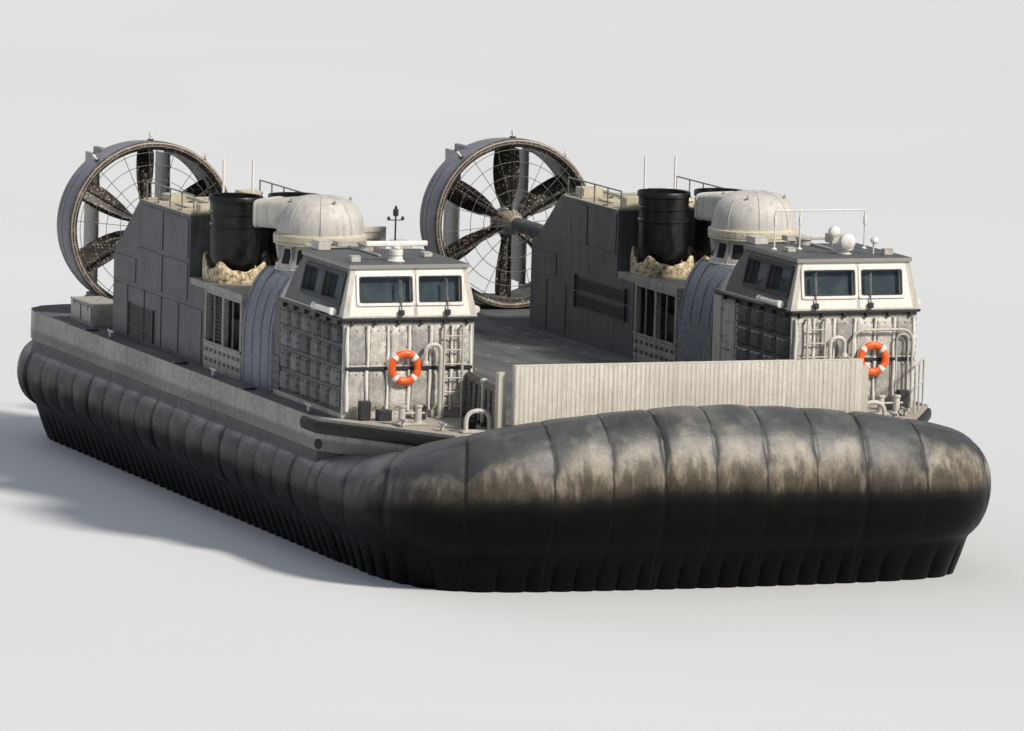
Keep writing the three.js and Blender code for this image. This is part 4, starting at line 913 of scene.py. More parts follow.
casing_paint, node, shader, place, base = marine_paint(
    "slate grey casing paint", "#59606A", "#6C727A", "#3A3B3D", bare="#8C8F92", runs=0.6
)
marks_on_casing = node("Mapping", {"Vector": place, "Scale": (1.2, 1.2, 0.4)})
scour = node("TexNoise", {"Vector": marks_on_casing, "Scale": 3.0, "Detail": 6.0, "Roughness": 0.7})
scour = node("ValToRGB", [scour], stops=((0.55, 0.0), (0.7, 0.45)))
feed(shader, {"Base Color": node("MixRGB", [scour, base, "#8A9097"])})


def slab_outline(z_foot):
    """The casing's outline seen from ahead: upright sides, and shoulders that follow a
    quadratic curve, (1-t)(1-t)a + 2t(1-t)b + ttc, in to the neck."""
    y0, y1 = HOUSE_IN + 0.06, HOUSE_OUT - 0.02
    t = np.linspace(0, 1, 16)[:, None]
    curve = lambda a, b, c: (1 - t) ** 2 * np.array(a) + 2 * t * (1 - t) * np.array(b) + t**2 * np.array(c)
    bend, neck = FAN_TOP - 0.42, FAN_TOP - 0.06
    right_side = curve((y1, FAN_SHOULDER), (y1 - 0.06, bend), (HOUSE_MID + FAN_NECK, neck))
    left_side = curve((HOUSE_MID - FAN_NECK, neck), (y0 + 0.06, bend), (y0, FAN_SHOULDER))
    top = [(HOUSE_MID + FAN_NECK - 0.05, FAN_TOP), (HOUSE_MID - FAN_NECK + 0.05, FAN_TOP)]
    return np.concatenate([[(y0, z_foot), (y1, z_foot)], right_side, top, left_side])


outline = slab_outline(DECK + 0.001)
centre = outline.mean(0)
rings = []
for x, shrink in ((FAN_AFT, 0.03), (FAN_AFT + 0.03, 0.0), (FAN_FORE - 0.03, 0.0), (FAN_FORE, 0.03)):
    yz = outline + shrink * (centre - outline) / np.abs(centre - outline).max(0)
    yz[:, 1] = np.maximum(yz[:, 1], DECK + 0.001)
    rings.append(np.column_stack([np.full(len(yz), x), yz]))
slab = skin(rings)
drums = [turned([(EYE_RADIUS, x - 0.3), (EYE_RADIUS, x + 0.3)], 64, (0, HOUSE_MID, EYE_HEIGHT), 0)
         for x in (FAN_AFT, FAN_FORE)]


def about_x(ahead, radius, turn):
    """Points round a fore-and-aft axis: a place along it, and the radius times the turn's cosine
    to port and its sine upwards."""
    return np.stack([ahead + 0 * radius * turn, radius * np.cos(turn), radius * np.sin(turn)], -1)


def cut_away(made, drums):
    """Cuts solid shapes out of a piece, and keeps the cut mesh as the piece's own."""
    mesh = bpy.data.meshes.new("cutter")
    start, points, faces = 0, [], []
    for shape_points, shape_faces in drums:
        points.append(shape_points)
        faces += [tuple(row) for block in shape_faces for row in (block + start).tolist()]
        start += len(shape_points)
    mesh.from_pydata(np.concatenate(points).tolist(), [], faces)
    solid = bpy.data.objects.new("cutter", mesh)
    bpy.context.scene.collection.objects.link(solid)
    bite = made.modifiers.new("bite", "BOOLEAN")
    bite.operation, bite.solver, bite.object = "DIFFERENCE", "EXACT", solid
    graph = bpy.context.evaluated_depsgraph_get()
    cut = bpy.data.meshes.new_from_object(made.evaluated_get(graph))
    made.modifiers.clear()
    made.data = cut
    bpy.data.objects.remove(solid)


for side, mirror in SIDES:
    cutters = [(points, [block[:, ::-mirror] for block in faces]) for points, faces in drums]
    plain = side + "_fan_casing"
    made = piece(side + "_fan_scroll", mirrored([slab], mirror), casing_paint, "craft", [plain], 28.0)
    cut_away(made, mirrored(cutters, mirror))

mouths, guards, seams = [], [], []
for x, ahead in ((FAN_AFT, -1), (FAN_FORE, 1)):
    middle = np.array((x, HOUSE_MID, EYE_HEIGHT))
    lip = ((0.71, -0.1), (0.72, 0.0), (0.76, 0.035), (0.82, 0.035), (0.84, 0.002), (0.76, -0.1))
    hub = ((0.26, -0.24), (0.26, -0.1), (0.16, -0.03), (0.03, 0.0))
    mouths.append(turned([(r, ahead * out) for r, out in lip], 48, middle, 0, loop=True))
    mouths.append(turned([(r, ahead * out) for r, out in hub], 24, middle, 0))
    for radius in (0.32, 0.44, 0.56, 0.68):
        guards.append(tube(middle + about_x(ahead * 0.015, radius, circle(24)), 0.006, 4, loop=True))
    for a in circle(16):
        ray = about_x(ahead * 0.012, np.array((0.24, EYE_RADIUS)), a)
        guards.append(tube(middle + ray, 0.007, 4))
for x in np.linspace(FAN_AFT + 0.2, FAN_FORE - 0.2, 4):
    band = outline[1:]
    band = np.column_stack([np.full(len(band), x), band])
    away = band - (0, centre[0], centre[1])
    band = band + away / np.linalg.norm(away[:, 1:], axis=1)[:, None] * (0, 0.006, 0.006)
    seams.append(tube(band, 0.012, 4))
both_sides("fan_eye_mouths", mouths + seams, casing_paint)
both_sides("fan_eye_guards", guards, galvanised)


# Thruster necks and nozzles.  A spun cone stands on each casing, braced by gussets; on it
# turns a domed elbow of pale moulded laminate with a cream bearing ring, blowing out of a
# mouth on its side.
SEAT, RIM_RADIUS, DOME_RADIUS, DOME_TOP = 6.22, 1.02, 0.95, 7.275
MOUTH_REACH = 1.33
DOME_FOOT = SEAT + 0.255
MOUTH_TURN = {"port": 15.0, "starboard": -40.0}

dome_paint, node, shader, place, base = marine_paint(
    "pale grey laminate paint", "#B3B1AD", "#C6C4C0", "#76726B", runs=0.5, chips=0.7
)
neck_foot = (THRUSTER_X, HOUSE_MID, FAN_TOP)
cone = [(0.985, 0.001), (0.985, 0.03), (0.955, 0.05), (0.94, 0.14), (0.885, 0.3), (0.845, 0.47),
        (0.84, 0.568), (0.71, 0.568), (0.71, 0.001)]
neck_parts = [turned(cone, 64, neck_foot, loop=True)]
reach, rise = np.array([(0.86, 0.03), (0.975, 0.03), (0.93, 0.2), (0.985, 0.535), (0.83, 0.535)]).T
for a in circle(12):
    gusset = [np.column_stack([reach * cos(a) - half * sin(a), reach * sin(a) + half * cos(a), rise])
              for half in (-0.012, 0.012)]
    neck_parts.append(skin(np.stack(gusset) + neck_foot))
both_sides("thruster_cone", neck_parts, dome_paint, stands_for=["{}_thruster_neck"])
# Near black, for painted shade: inside the nozzle's throat and on the cone between its gussets.
dark_shade_finish, node, shader, place = material("near-black painted shade")
murk = node("TexNoise", {"Vector": place, "Scale": 4.0, "Detail": 4.0})
feed(shader, {
    "Base Color": node("ValToRGB", [murk], stops=((0.35, "#141415"), (0.7, "#262627"))), "Roughness": 0.85,
})


def upright(radius, turn, height):
    """Points round an upright axis: the radius times the turn's cosine and sine, and a height."""
    return np.column_stack([radius * np.cos(turn), radius * np.sin(turn), height + 0 * turn])


# Near-black strips on the cone between the gussets: painted shade cast by them.
cone_shade_strips = []
stand = np.repeat([0.01, -0.01], 5)
for a in circle(12):
    spread = a + np.linspace(0.1, 0.4, 5)
    spread = np.concatenate([spread, spread[::-1]])
    rows = [upright(r + stand, spread, z) for r, z in ((0.926, 0.15), (0.885, 0.3), (0.845, 0.48))]
    cone_shade_strips.append(skin(np.stack(rows) + neck_foot))
both_sides("thruster_cone_shade_strips", cone_shade_strips, dark_shade_finish)

cream_paint, node, shader, place, base = marine_paint(
    "cream bearing ring paint", "#BDB59D", "#CFC8B2", "#7A7160", runs=0.5
)


def dome_sheet(radius, top, foot, count):
    """The nozzle's dome: a superellipse turned about its axis, its radius by the cosine to the
    power 0.66 and its height by the sine to the power 0.82."""
    t = np.linspace(0, pi / 2, 18)
    profile = [(radius * cos(k) ** 0.66, foot + (top - foot) * sin(k) ** 0.82) for k in t[:-1]] + [(0, top)]
    return turned([(0.62, foot)] + profile, count, (0, 0, 0))


def mouth_ring(reach, half, low, high, power=0.32):
    """A rounded rectangle across the way out, at a reach from the nozzle's axis."""
    y, z = squared(circle(48), power)
    return np.column_stack([0 * y - reach, half * y, (low + high) / 2 + (high - low) / 2 * z])


outside = [(0.3, 0.6, 6.5, 7.18), (0.62, 0.63, 6.5, 7.19), (0.95, 0.638, 6.51, 7.15),
           (1.28, 0.635, 6.52, 7.11), (1.28, 0.66, 6.5, 7.135), (MOUTH_REACH, 0.66, 6.5, 7.135)]
inside_mouth = [(MOUTH_REACH, 0.575, 6.585, 7.045), (0.9, 0.57, 6.58, 7.08), (0.35, 0.5, 6.58, 7.08)]
mouth_shell = skin(np.stack([mouth_ring(*row) for row in outside + inside_mouth]))
vanes = [tube([(0.02 - MOUTH_REACH, y, z) for z in (6.58, 7.05)], 0.018, 8) for y in (-0.19, 0.19)]
# A near-black sheet inside the mouth: painted shade in the nozzle's throat.
throat = skin([mouth_ring(1.23, 0.568, 6.592, 7.038), mouth_ring(0.5, 0.53, 6.6, 7.06)])
dome = dome_sheet(DOME_RADIUS, DOME_TOP, DOME_FOOT, 96)
ring_profile = [(0.72, 0.003), (1.01, 0.003), (RIM_RADIUS, 0.013), (RIM_RADIUS, 0.045), (1.004, 0.05),
                (1.004, 0.06), (RIM_RADIUS, 0.065), (RIM_RADIUS, 0.205), (1.008, 0.217), (0.965, 0.222),
                (0.955, 0.255), (0.72, 0.255)]
bearing_ring = turned(ring_profile, 96, (0, 0, SEAT), loop=True)
ring_bolts = []
for a in circle(36):
    out = np.array((cos(a), sin(a), 0))
    ring_bolts.append(studs(out * RIM_RADIUS + (0, 0, SEAT + 0.135), out, 0.016, 0.014))
dome_seams = []
for a in circle(8) + 0.25:
    t = np.linspace(0.02, pi / 2 - 0.1, 14)
    rise = DOME_FOOT + (DOME_TOP - DOME_FOOT) * np.sin(t) ** 0.82
    dome_seams.append(tube(upright((DOME_RADIUS + 0.003) * np.cos(t) ** 0.66, a + 0 * t, rise), 0.011, 5))
lift_eyes = upright(0.7, np.array((0.6, 2.2, 3.9, 5.4)), 7.19)
lift_eyes = [blocks(lift_eyes, (0.06, 0.06, 0.07), 0.015)]
for side, mirror in SIDES:
    a = radians(MOUTH_TURN[side])
    swing = np.array([[cos(a), sin(a), 0], [-sin(a), cos(a), 0], [0, 0, 1]])
    foot = (THRUSTER_X, HOUSE_MID, 0)
    placed = lambda shapes: mirrored([(points @ swing + foot, faces) for points, faces in shapes], mirror)
    body = side + "_nozzle"
    piece(side + "_nozzle_dome", placed([dome, mouth_shell] + dome_seams + lift_eyes), dome_paint, body,
          [side + "_thruster_nozzle"], crease=40.0)
    piece(side + "_nozzle_ring", placed([bearing_ring] + ring_bolts), cream_paint, body, crease=40.0)
    piece(side + "_nozzle_throat", placed([throat]), dark_shade_finish, body)
    piece(side + "_nozzle_vanes", placed(vanes), dome_paint, body)


# Engine bays.  A flat roof on posts over the two turbines, closed below by bolted side panels
# and half screened by wire mesh; pipes, casings and lagging show in the gloom.
BAY_AFT, BAY_FORE, BAY_ROOF = -0.64, 1.86, 5.0
BAY_MIDDLE, TURBINE_HEIGHT = 0.61, 4.52

bay_paint, node, shader, place, base = marine_paint(
    "grimy grey machinery paint", "#85857F", "#98968E", "#3F3C37", runs=0.9
)
coat_node(bay_paint, "port_engine_bay", "starboard_engine_bay")
engine_metal, node, shader, place = material("heat-stained engine casing")
stain = node("TexNoise", {"Vector": place, "Scale": 3.5, "Detail": 6.0, "Roughness": 0.65})
feed(shader, {
    "Base Color": node("ValToRGB", [stain], stops=((0.35, "#2B2A29"), (0.5, "#4C4740"), (0.68, "#6E6558"))),
    "Roughness": node("ValToRGB", [stain], stops=((0.35, 0.35), (0.7, 0.6))), "Metallic": 0.6,
})
coat_node(engine_metal, "port_engines", "starboard_engines")
case = [(0.05, -0.3), (0.26, -0.28), (0.34, -0.1), (0.34, 0.15), (0.28, 0.25), (0.28, 0.62), (0.31, 0.66),
        (0.31, 0.75), (0.24, 0.8), (0.2, 1.2), (0.05, 1.25)]
clamp = [(0.3, 0), (0.37, 0.005), (0.37, 0.035), (0.3, 0.04)]
along_pipe = np.linspace(0, 1, 8)
turbines = []
for y in (4.62, 5.72):
    turbines.append(turned(case, 28, (0.05, y, TURBINE_HEIGHT), 0))
    for x in (0.16, 0.46, 0.78):
        turbines.append(turned(clamp, 28, (x, y, TURBINE_HEIGHT), 0))
    for a in (0.5, 1.3, 2.4, 3.0):
        beside = y + (0.38 + 0.04 * np.sin(along_pipe * 6 + a)) * cos(a)
        pipe = np.column_stack([1.2 * along_pipe - 0.2, beside, 0 * beside + TURBINE_HEIGHT + 0.38 * sin(a)])
        turbines.append(tube(pipe, 0.022, 6))
both_sides("turbine_casings", turbines, engine_metal, crease=40.0)
bay_parts, bolt_rows, bay_slots = [], [], []
for y, out in ((HOUSE_OUT - 0.02, 1), (HOUSE_IN + 0.04, -1)):
    bay_parts.append(blocks((BAY_MIDDLE, y + out * 0.004, 3.71), (2.5, 0.05, 0.05), 0.008))
    bay_parts.append(blocks((BAY_MIDDLE, y - out * 0.02, 4.82), (2.5, 0.05, 0.06), 0.008))
    for x in (0.0, 1.22):
        bay_parts.append(blocks((x, y - out * 0.03, 4.27), (0.04, 0.03, 1.1), 0.004))
    # Black slot blocks on the lower panels: painted shade inside the slots.
    holes = lattice(np.linspace(BAY_AFT + 0.2, BAY_FORE - 0.2, 8), [y + out * 0.004], (3.32, 3.54))
    bay_slots.append(blocks(holes, (0.15, 0.012, 0.075), 0.003))
    bolts = lattice(np.linspace(BAY_AFT + 0.06, BAY_FORE - 0.06, 9), [y + out * 0.001], (3.22, 3.43, 3.64))
    bolt_rows.append(studs(bolts, (0, out, 0), 0.026, 0.012, 8))
both_sides("bay_side_frames", bay_parts, bay_paint)
both_sides("bay_panel_studs", bolt_rows, white_paint)
both_sides("bay_panel_slots", bay_slots, black_fittings_and_shade)
y = HOUSE_OUT - 0.1
mesh_wires = [tube([(BAY_AFT + 0.1, y, z), (0.55, y, z)], 0.005, 4) for z in np.arange(3.8, 4.8, 0.085)]
mesh_wires += [tube([(x, y, 3.75), (x, y, 4.82)], 0.005, 4) for x in np.arange(BAY_AFT + 0.12, 0.55, 0.085)]
both_sides("bay_wire_screens", mesh_wires, galvanised)


# Exhaust stacks.  Rolled steel pots burnt matt black, with raised clamp bands round the head,
# open at the top; quilted tan lagging is wrapped round each foot in a crumpled square collar.
STACK_X, STACK_APART = -0.85, 0.7

soot, node, shader, place = material("burnt black steel")
scorch = node("Mapping", {"Vector": place, "Scale": (1.0, 1.0, 0.35)})
scorch = node("TexNoise", {"Vector": scorch, "Scale": 3.2, "Detail": 7.0, "Roughness": 0.7})
feed(shader, {
    "Base Color": node("ValToRGB", [scorch], stops=((0.35, "#0E0E0E"), (0.55, "#1B1B1B"), (0.75, "#3A3733"))),
    "Roughness": node("ValToRGB", [scorch], stops=((0.35, 0.26), (0.7, 0.55))), "Metallic": 0.35,
    "Normal": node("Bump", {"Height": scorch, "Strength": 0.25, "Distance": 0.02}),
})
pot = [(0.36, BAY_ROOF + 0.001), (0.36, 5.18), (0.4, 5.26), (0.48, 5.37), (0.54, 5.5), (0.562, 5.64),
       (0.562, 6.22), (0.59, 6.235), (0.59, 6.29), (0.566, 6.305), (0.57, 6.5), (0.598, 6.515),
       (0.598, 6.57), (0.574, 6.585), (0.578, 6.78), (0.608, 6.795), (0.608, 6.905), (0.596, 6.92),
       (0.565, 6.9), (0.545, 5.72), (0.5, 5.6), (0.05, 5.55)]
lagging, node, shader, place = material("quilted glass-cloth lagging")
crumple = node("TexNoise", {"Vector": place, "Scale": 8.0, "Detail": 6.0, "Roughness": 0.7})
quilt = node("TexVoronoi", {"Vector": place, "Scale": 9.0, "Randomness": 0.35}, feature="DISTANCE_TO_EDGE")
folds = node("Math MULTIPLY_ADD", [crumple, 0.5, quilt])
# Dark brown where the crumple is low, in the folds: partly dirt, partly painted shade in the creases.
feed(shader, {
    "Base Color": node("ValToRGB", [crumple],
                       stops=((0.36, "#40362A"), (0.44, "#96866A"), (0.56, "#CBBE9E"), (0.72, "#E8E1CC"))),
    "Roughness": 0.82, "Sheen Weight": 0.2,
    "Normal": node("Bump", {"Height": folds, "Strength": 0.8, "Distance": 0.05}),
})
wrap = [(0.0, 0.0), (0.35, -0.012), (0.7, -0.005), (0.97, 0.01), (1.0, 0.03), (0.97, 0.055), (0.4, 0.06),
        (0.0, 0.06)]
stack_parts, collars = [], []
for y in (HOUSE_MID - STACK_APART, HOUSE_MID + STACK_APART):
    stack_parts.append(turned(pot, 64, (STACK_X, y, 0)))
    t = circle(96)
    square = (np.abs(np.cos(t)) ** 6 + np.abs(np.sin(t)) ** 6) ** (-1 / 6)
    corner = (square - 1) / 0.32
    wrinkle = 0.012 * np.sin(t * 23) + 0.01 * np.sin(t * 37 + y)
    rings = []
    for share, inset in wrap:
        reach = (0.6 - inset) * square + wrinkle * (0.3 + share)
        peak = (0.36 - 0.12 * np.cos(t)) * np.clip(corner, 0, 1) ** 1.4
        rise = BAY_ROOF + 0.003 + share * (0.27 + peak + 0.018 * np.sin(t * 11 + y))
        rings.append(upright(reach, t, rise))
    collars.append(skin(np.stack(rings) + (STACK_X, y, 0), loop=True))
pots = ["{}_inboard_exhaust", "{}_outboard_exhaust"]
both_sides("exhaust_pots", stack_parts, soot, stands_for=pots, crease=40.0)
both_sides("exhaust_lagging", collars, lagging, crease=60.0)


# Intake houses.  Plated aluminium houses in dark grey, ribbed by lapped panels, with louvres
# in the inboard wall, a low vent outboard, filter doors and rails on the roof.
HOUSE_AFT, HOUSE_TOP = -7.0, 6.4

house_paint, node, shader, place, base = marine_paint(
    "dark grey house paint", "#46494D", "#585A5D", "#2D2C2B",
    bare="#77767A", runs=0.8, chips=0.8
)
# The roof top is pale beige: partly its own colour, partly painted light falling on the top.
lit_pale_roof = node("Math GREATER_THAN", [node("SeparateXYZ", [place], out=2), HOUSE_TOP - 0.01])
feed(shader, {"Base Color": node("MixRGB", [lit_pale_roof, base, "#A19A8B"])})
coat_node(house_paint, "port_intake_house", "starboard_intake_house")
lapped = [  # each panel's aft and fore ends, foot and head
    (-6.9, -5.95, 3.2, 4.35), (-5.85, -4.75, 3.2, 4.35), (-4.65, -3.55, 3.2, 4.35), (-3.45, -2.35, 3.2, 4.35),
    (-2.25, -0.75, 3.2, 4.35), (-6.85, -5.4, 4.45, 5.0), (-5.3, -3.55, 4.45, 5.3), (-3.45, -1.78, 4.45, 5.3),
    (-5.05, -3.55, 5.4, 6.3), (-3.45, -1.78, 5.4, 6.3),
]
panels, screws, slats = [], [], []
for y, out in ((HOUSE_OUT - 0.01, 1), (HOUSE_IN + 0.02, -1)):
    for x0, x1, z0, z1 in lapped:
        if out > 0 or z0 > 5 or x1 < -4.5:
            middle = ((x0 + x1) / 2, y + out * 0.008, (z0 + z1) / 2)
            panels.append(blocks(middle, (x1 - x0, 0.02, z1 - z0), 0.005))
            edge = lattice(np.arange(x0 + 0.06, x1, 0.2), [y + out * 0.018], (z0 + 0.05, z1 - 0.05))
            screws.append(studs(edge, (0, out, 0), 0.011, 0.006, 5))
    if out < 0:
        for foot in (3.95, 4.35):
            for z in np.arange(foot, foot + 0.3, 0.05):
                slats.append(blocks((-2.6, y + out * 0.03, z), (3.0, 0.05, 0.012), 0.002))
            ends = [(x, y + out * 0.03, foot + 0.13) for x in (-4.13, -1.07)]
            slats.append(blocks(ends, (0.05, 0.07, 0.36), 0.006))
    else:
        for z in np.arange(3.28, 3.95, 0.06):
            slats.append(blocks((-4.9, y + out * 0.032, z), (1.7, 0.05, 0.014), 0.002))
        ends = [(x, y + out * 0.03, 3.6) for x in (-5.78, -4.02)]
        slats.append(blocks(ends, (0.05, 0.07, 0.76), 0.006))
both_sides("house_panels", panels, house_paint)
both_sides("house_screws", screws, galvanised)
both_sides("house_louvres", slats, black_fittings_and_shade)
roof_parts = [blocks((-3.4, HOUSE_MID, HOUSE_TOP + 0.02), (0.9, 2.2, 0.05), 0.012)]
ribs = [(x, HOUSE_MID, HOUSE_TOP + 0.02) for x in (-5.1, -4.3, -2.7, -1.75)]
roof_parts.append(blocks(ribs, (0.08, 2.86, 0.04), 0.008))
hatches = ((-4.7, 4.2, 0.5, 0.5, 0.22), (-4.7, 6.0, 0.6, 0.4, 0.16), (-2.0, 4.2, 0.3, 0.5, 0.26),
           (-2.05, 6.15, 0.3, 0.4, 0.2))
roof_parts += [blocks((x, y, HOUSE_TOP + h / 2), (a, b, h), 0.015) for x, y, a, b, h in hatches]
roof_parts += [tube([(x, y, HOUSE_TOP + 0.1) for x in (-5.0, -2.4)], 0.045, 12) for y in (4.62, 5.7)]
cowl = [(0.16, 0), (0.16, 0.14), (0.2, 0.16), (0.17, 0.22), (0.0, 0.24)]
roof_parts += [turned(cowl, 20, (-2.1, y, HOUSE_TOP)) for y in (5.0, 5.55)]
rails = []
for y in (HOUSE_IN + 0.12, HOUSE_OUT - 0.12):
    rails.append(tube([(-5.05, y, HOUSE_TOP + 0.42), (-1.8, y, HOUSE_TOP + 0.42)], 0.018, 8))
    for x in np.linspace(-5.05, -1.8, 5):
        rails.append(tube([(x, y, HOUSE_TOP), (x, y, HOUSE_TOP + 0.42)], 0.018, 8))
both_sides("house_roof_gear", roof_parts, cream_paint)
both_sides("house_roof_rails", rails, galvanised)


# Propeller ducts.  Moulded laminate rings, mauve-grey outside with stiffening hoops, a tan
# lip at the mouth and a dark liner; six stator vanes carry the nacelle, wire hoops guard the
# mouth, and plated legs stand the ring on the deck.
DUCT_Y, DUCT_Z = 4.583, 5.165
RUDDER_APART = 0.88
DUCT_LIP, DUCT_TAIL, DUCT_RIM, DUCT_THROAT = -10.27, -11.65, 2.05, 1.83


def freckles(node, place, area):
    """Round specks where salt has eaten the paint: the nearest-point distance of random cells,
    under a threshold that a slow noise raises and lowers."""
    cells = node("TexVoronoi", {"Vector": place, "Scale": 13.0, "Randomness": 0.8})
    pits = node("Math MULTIPLY_ADD", [area, 0.5, node("Math MULTIPLY", [cells, -0.55])])
    return node("ValToRGB", [pits], stops=((0.07, 0.0), (0.12, 0.75)))


duct_paint, node, shader, place, base = marine_paint(
    "mauve grey laminate paint", "#66646E", "#7A7782", "#3C3A38", runs=0.6, chips=0.74
)
xyz = [node("SeparateXYZ", [place], out=k) for k in range(3)]
out_y = node("Math SUBTRACT", [node("Math ABSOLUTE", [xyz[1]]), DUCT_Y])
out_z = node("Math SUBTRACT", [xyz[2], DUCT_Z])
flat = node("CombineXYZ", [0.0, out_y, out_z])
radius = node("VectorMath LENGTH", [flat], out=1)
blotches = node("TexNoise", {"Vector": place, "Scale": 2.2, "Detail": 7.0, "Roughness": 0.7})
liner = node("ValToRGB", [blotches], stops=((0.38, "#1F1E1B"), (0.6, "#33302B"), (0.75, "#4A453C")))
liner = node("MixRGB", [freckles(node, place, blotches), liner, "#9A917F"])
lip_tan = node("MixRGB", [blotches, "#7E7668", "#B5AB96"])
inner = node("Math LESS_THAN", [radius, DUCT_THROAT + 0.07])
mouth = node("Math GREATER_THAN", [xyz[0], DUCT_LIP - 0.045])
beaded = node("Math COMPARE", [radius, DUCT_RIM - 0.035, 0.014])
line = node("Math COMPARE", [radius, DUCT_THROAT + 0.115, 0.008])
beaded = node("Math MAXIMUM", [beaded, line])
collar = node("Math GREATER_THAN", [xyz[0], DUCT_LIP - 0.16])
inner = node("Math MAXIMUM", [inner, node("Math MULTIPLY", [collar, 0.85])])
base = node("MixRGB", [inner, base, liner])
base = node("MixRGB", [node("Math MULTIPLY", [mouth, beaded]), base, lip_tan])
feed(shader, {"Base Color": base})

outer = [(DUCT_THROAT + 0.11, DUCT_TAIL)]
for x in (-11.45, -11.1):
    reach = DUCT_THROAT + 0.11 + (x - DUCT_TAIL) * 0.1
    outer += [(reach, x - 0.03), (reach + 0.012, x - 0.02), (reach + 0.012, x + 0.02), (reach, x + 0.03)]
outer.append((DUCT_RIM - 0.008, DUCT_LIP - 0.42))
lip = [(DUCT_RIM - 0.065 + 0.06 * cos(k), DUCT_LIP - 0.07 + 0.065 * sin(k))
       for k in np.linspace(0, pi / 2, 6)]
for k in np.linspace(0.15, pi / 2, 8):
    lip.append((DUCT_THROAT + 0.12 - 0.12 * sin(k), DUCT_LIP - 0.005 - 0.27 * (1 - cos(k))))
profile = [(DUCT_THROAT, DUCT_TAIL)] + outer + lip
duct_middle = np.array((0, DUCT_Y, DUCT_Z))
nacelle = [(0.11, -10.792), (0.29, -10.792), (0.3, -10.77), (0.3, -10.56), (0.29, -10.5), (0.25, -10.36),
           (0.2, -10.25), (0.172, -10.15)]
shaft_tube = [(0.168, -10.2)]
for x in (-9.6, -9.0, -8.4, -7.8):
    shaft_tube += [(0.17, x - 0.03), (0.182, x - 0.025), (0.182, x + 0.025), (0.17, x + 0.03)]
shaft_tube += [(0.17, -7.32), (0.185, -7.28), (0.225, -7.06), (0.228, HOUSE_AFT - 0.002)]
vane_parts = []
t = circle(20)
for a in circle(6) + pi / 6:
    rings = []
    for r, x, chord in ((0.26, -10.62, 0.2), (0.9, -10.6, 0.16), (DUCT_THROAT + 0.02, -10.56, 0.2)):
        thick = 0.032 * np.sin(t) * (1 - 0.35 * np.cos(t))
        beside, over = r * cos(a) - thick * sin(a), r * sin(a) + thick * cos(a)
        rings.append(np.column_stack([x + chord / 2 * np.cos(t), beside, over]))
    vane_parts.append(skin(np.stack(rings) + duct_middle))
leg_parts = []
for y in (DUCT_Y - 1.1, DUCT_Y + 1.1):
    leg_parts.append(blocks((-11.01, y, 3.33), (0.92, 0.28, 0.46), 0.02))
    leg_parts.append(blocks((-11.01, y, 3.112), (1.0, 0.42, 0.024), 0.006))
    leg_parts += [blocks((x, y, 3.3), (0.03, 0.4, 0.34), 0.006) for x in (-11.4, -11.01, -10.62)]
arm = np.array([(-11.35, 0.09, 0), (-12.02, 0.068, 0), (-12.1, 0.04, 0)])
arm = np.concatenate([arm, arm[::-1] * (1, -1, 1)])
for y in (DUCT_Y - RUDDER_APART, DUCT_Y + RUDDER_APART):
    for z in (DUCT_Z - 1.695, DUCT_Z + 1.695):
        leg_parts.append(skin(np.stack([arm + (0, y, z - 0.083), arm + (0, y, z + 0.083)])))
        leg_parts.append(studs(lattice([-11.5, -11.65, -11.8], [y], [z + 0.083]), (0, 0, 1), 0.02, 0.015))
duct = turned(profile, 128, duct_middle, 0, loop=True)
both_sides("duct_ring", [duct], duct_paint, stands_for=["{}_propeller_duct"], crease=38.0)
tan_paint = marine_paint("tan spinner paint", "#938A79", "#B0A896", "#5A544A", runs=0.4)[0]
both_sides("duct_nacelle", [turned(nacelle, 40, duct_middle, 0)], tan_paint, crease=38.0)
both_sides("duct_shaft_tube", [turned(shaft_tube, 40, duct_middle, 0)], house_paint, crease=38.0)
both_sides("duct_vanes", vane_parts, duct_paint, crease=38.0)
both_sides("duct_legs", leg_parts, duct_paint)
guard = []
for r in (0.48, 0.82, 1.16, 1.5, 1.8):
    hoop = about_x(DUCT_LIP - 0.0125 * r**2, r, circle(64))
    guard.append(tube(duct_middle + hoop, 0.008, 4, loop=True))
r = np.array((0.21, 1.0, 1.95))
for a in circle(18) + 0.1:
    guard.append(tube(duct_middle + about_x(DUCT_LIP - 0.003 - 0.0125 * r**2, r, a), 0.008, 4))
both_sides("duct_guard_wires", guard, galvanised)
lamp_feet, lamp_posts = [], []
for a in (0.28, 0.5, 0.72):
    up = about_x(0, 1, pi * a)
    foot = duct_middle + (-10.62, 0, 0) + up * (DUCT_RIM - 0.01)
    lamp_feet.append(blocks(foot + up * 0.02, (0.12, 0.12, 0.05), 0.008))
    lamp_posts.append(tube([foot - up * 0.03, foot + up * 0.13], 0.028, 10))
    lamp_posts.append(tube([foot + up * 0.1, foot + up * 0.19], 0.038, 12))
both_sides("duct_lamp_feet", lamp_feet, black_fittings_and_shade)
both_sides("duct_lamps", lamp_posts, white_paint)


# Propellers.  Six broad composite blades on a spinner, dark and freckled where salt has
# eaten the paint; each blade is a wing section twisted from root to tip.
PROP_X = -10.98
BLADE_STATIONS = np.array([  # radius, chord, thickness, pitch in degrees
    (0.25, 0.24, 0.17, 64), (0.42, 0.36, 0.15, 57), (0.6, 0.52, 0.1, 49), (0.85, 0.62, 0.075, 42),
    (1.15, 0.66, 0.055, 35), (1.45, 0.645, 0.038, 31), (1.68, 0.6, 0.028, 28), (1.765, 0.53, 0.022, 27),
    (1.784, 0.38, 0.014, 27),
])

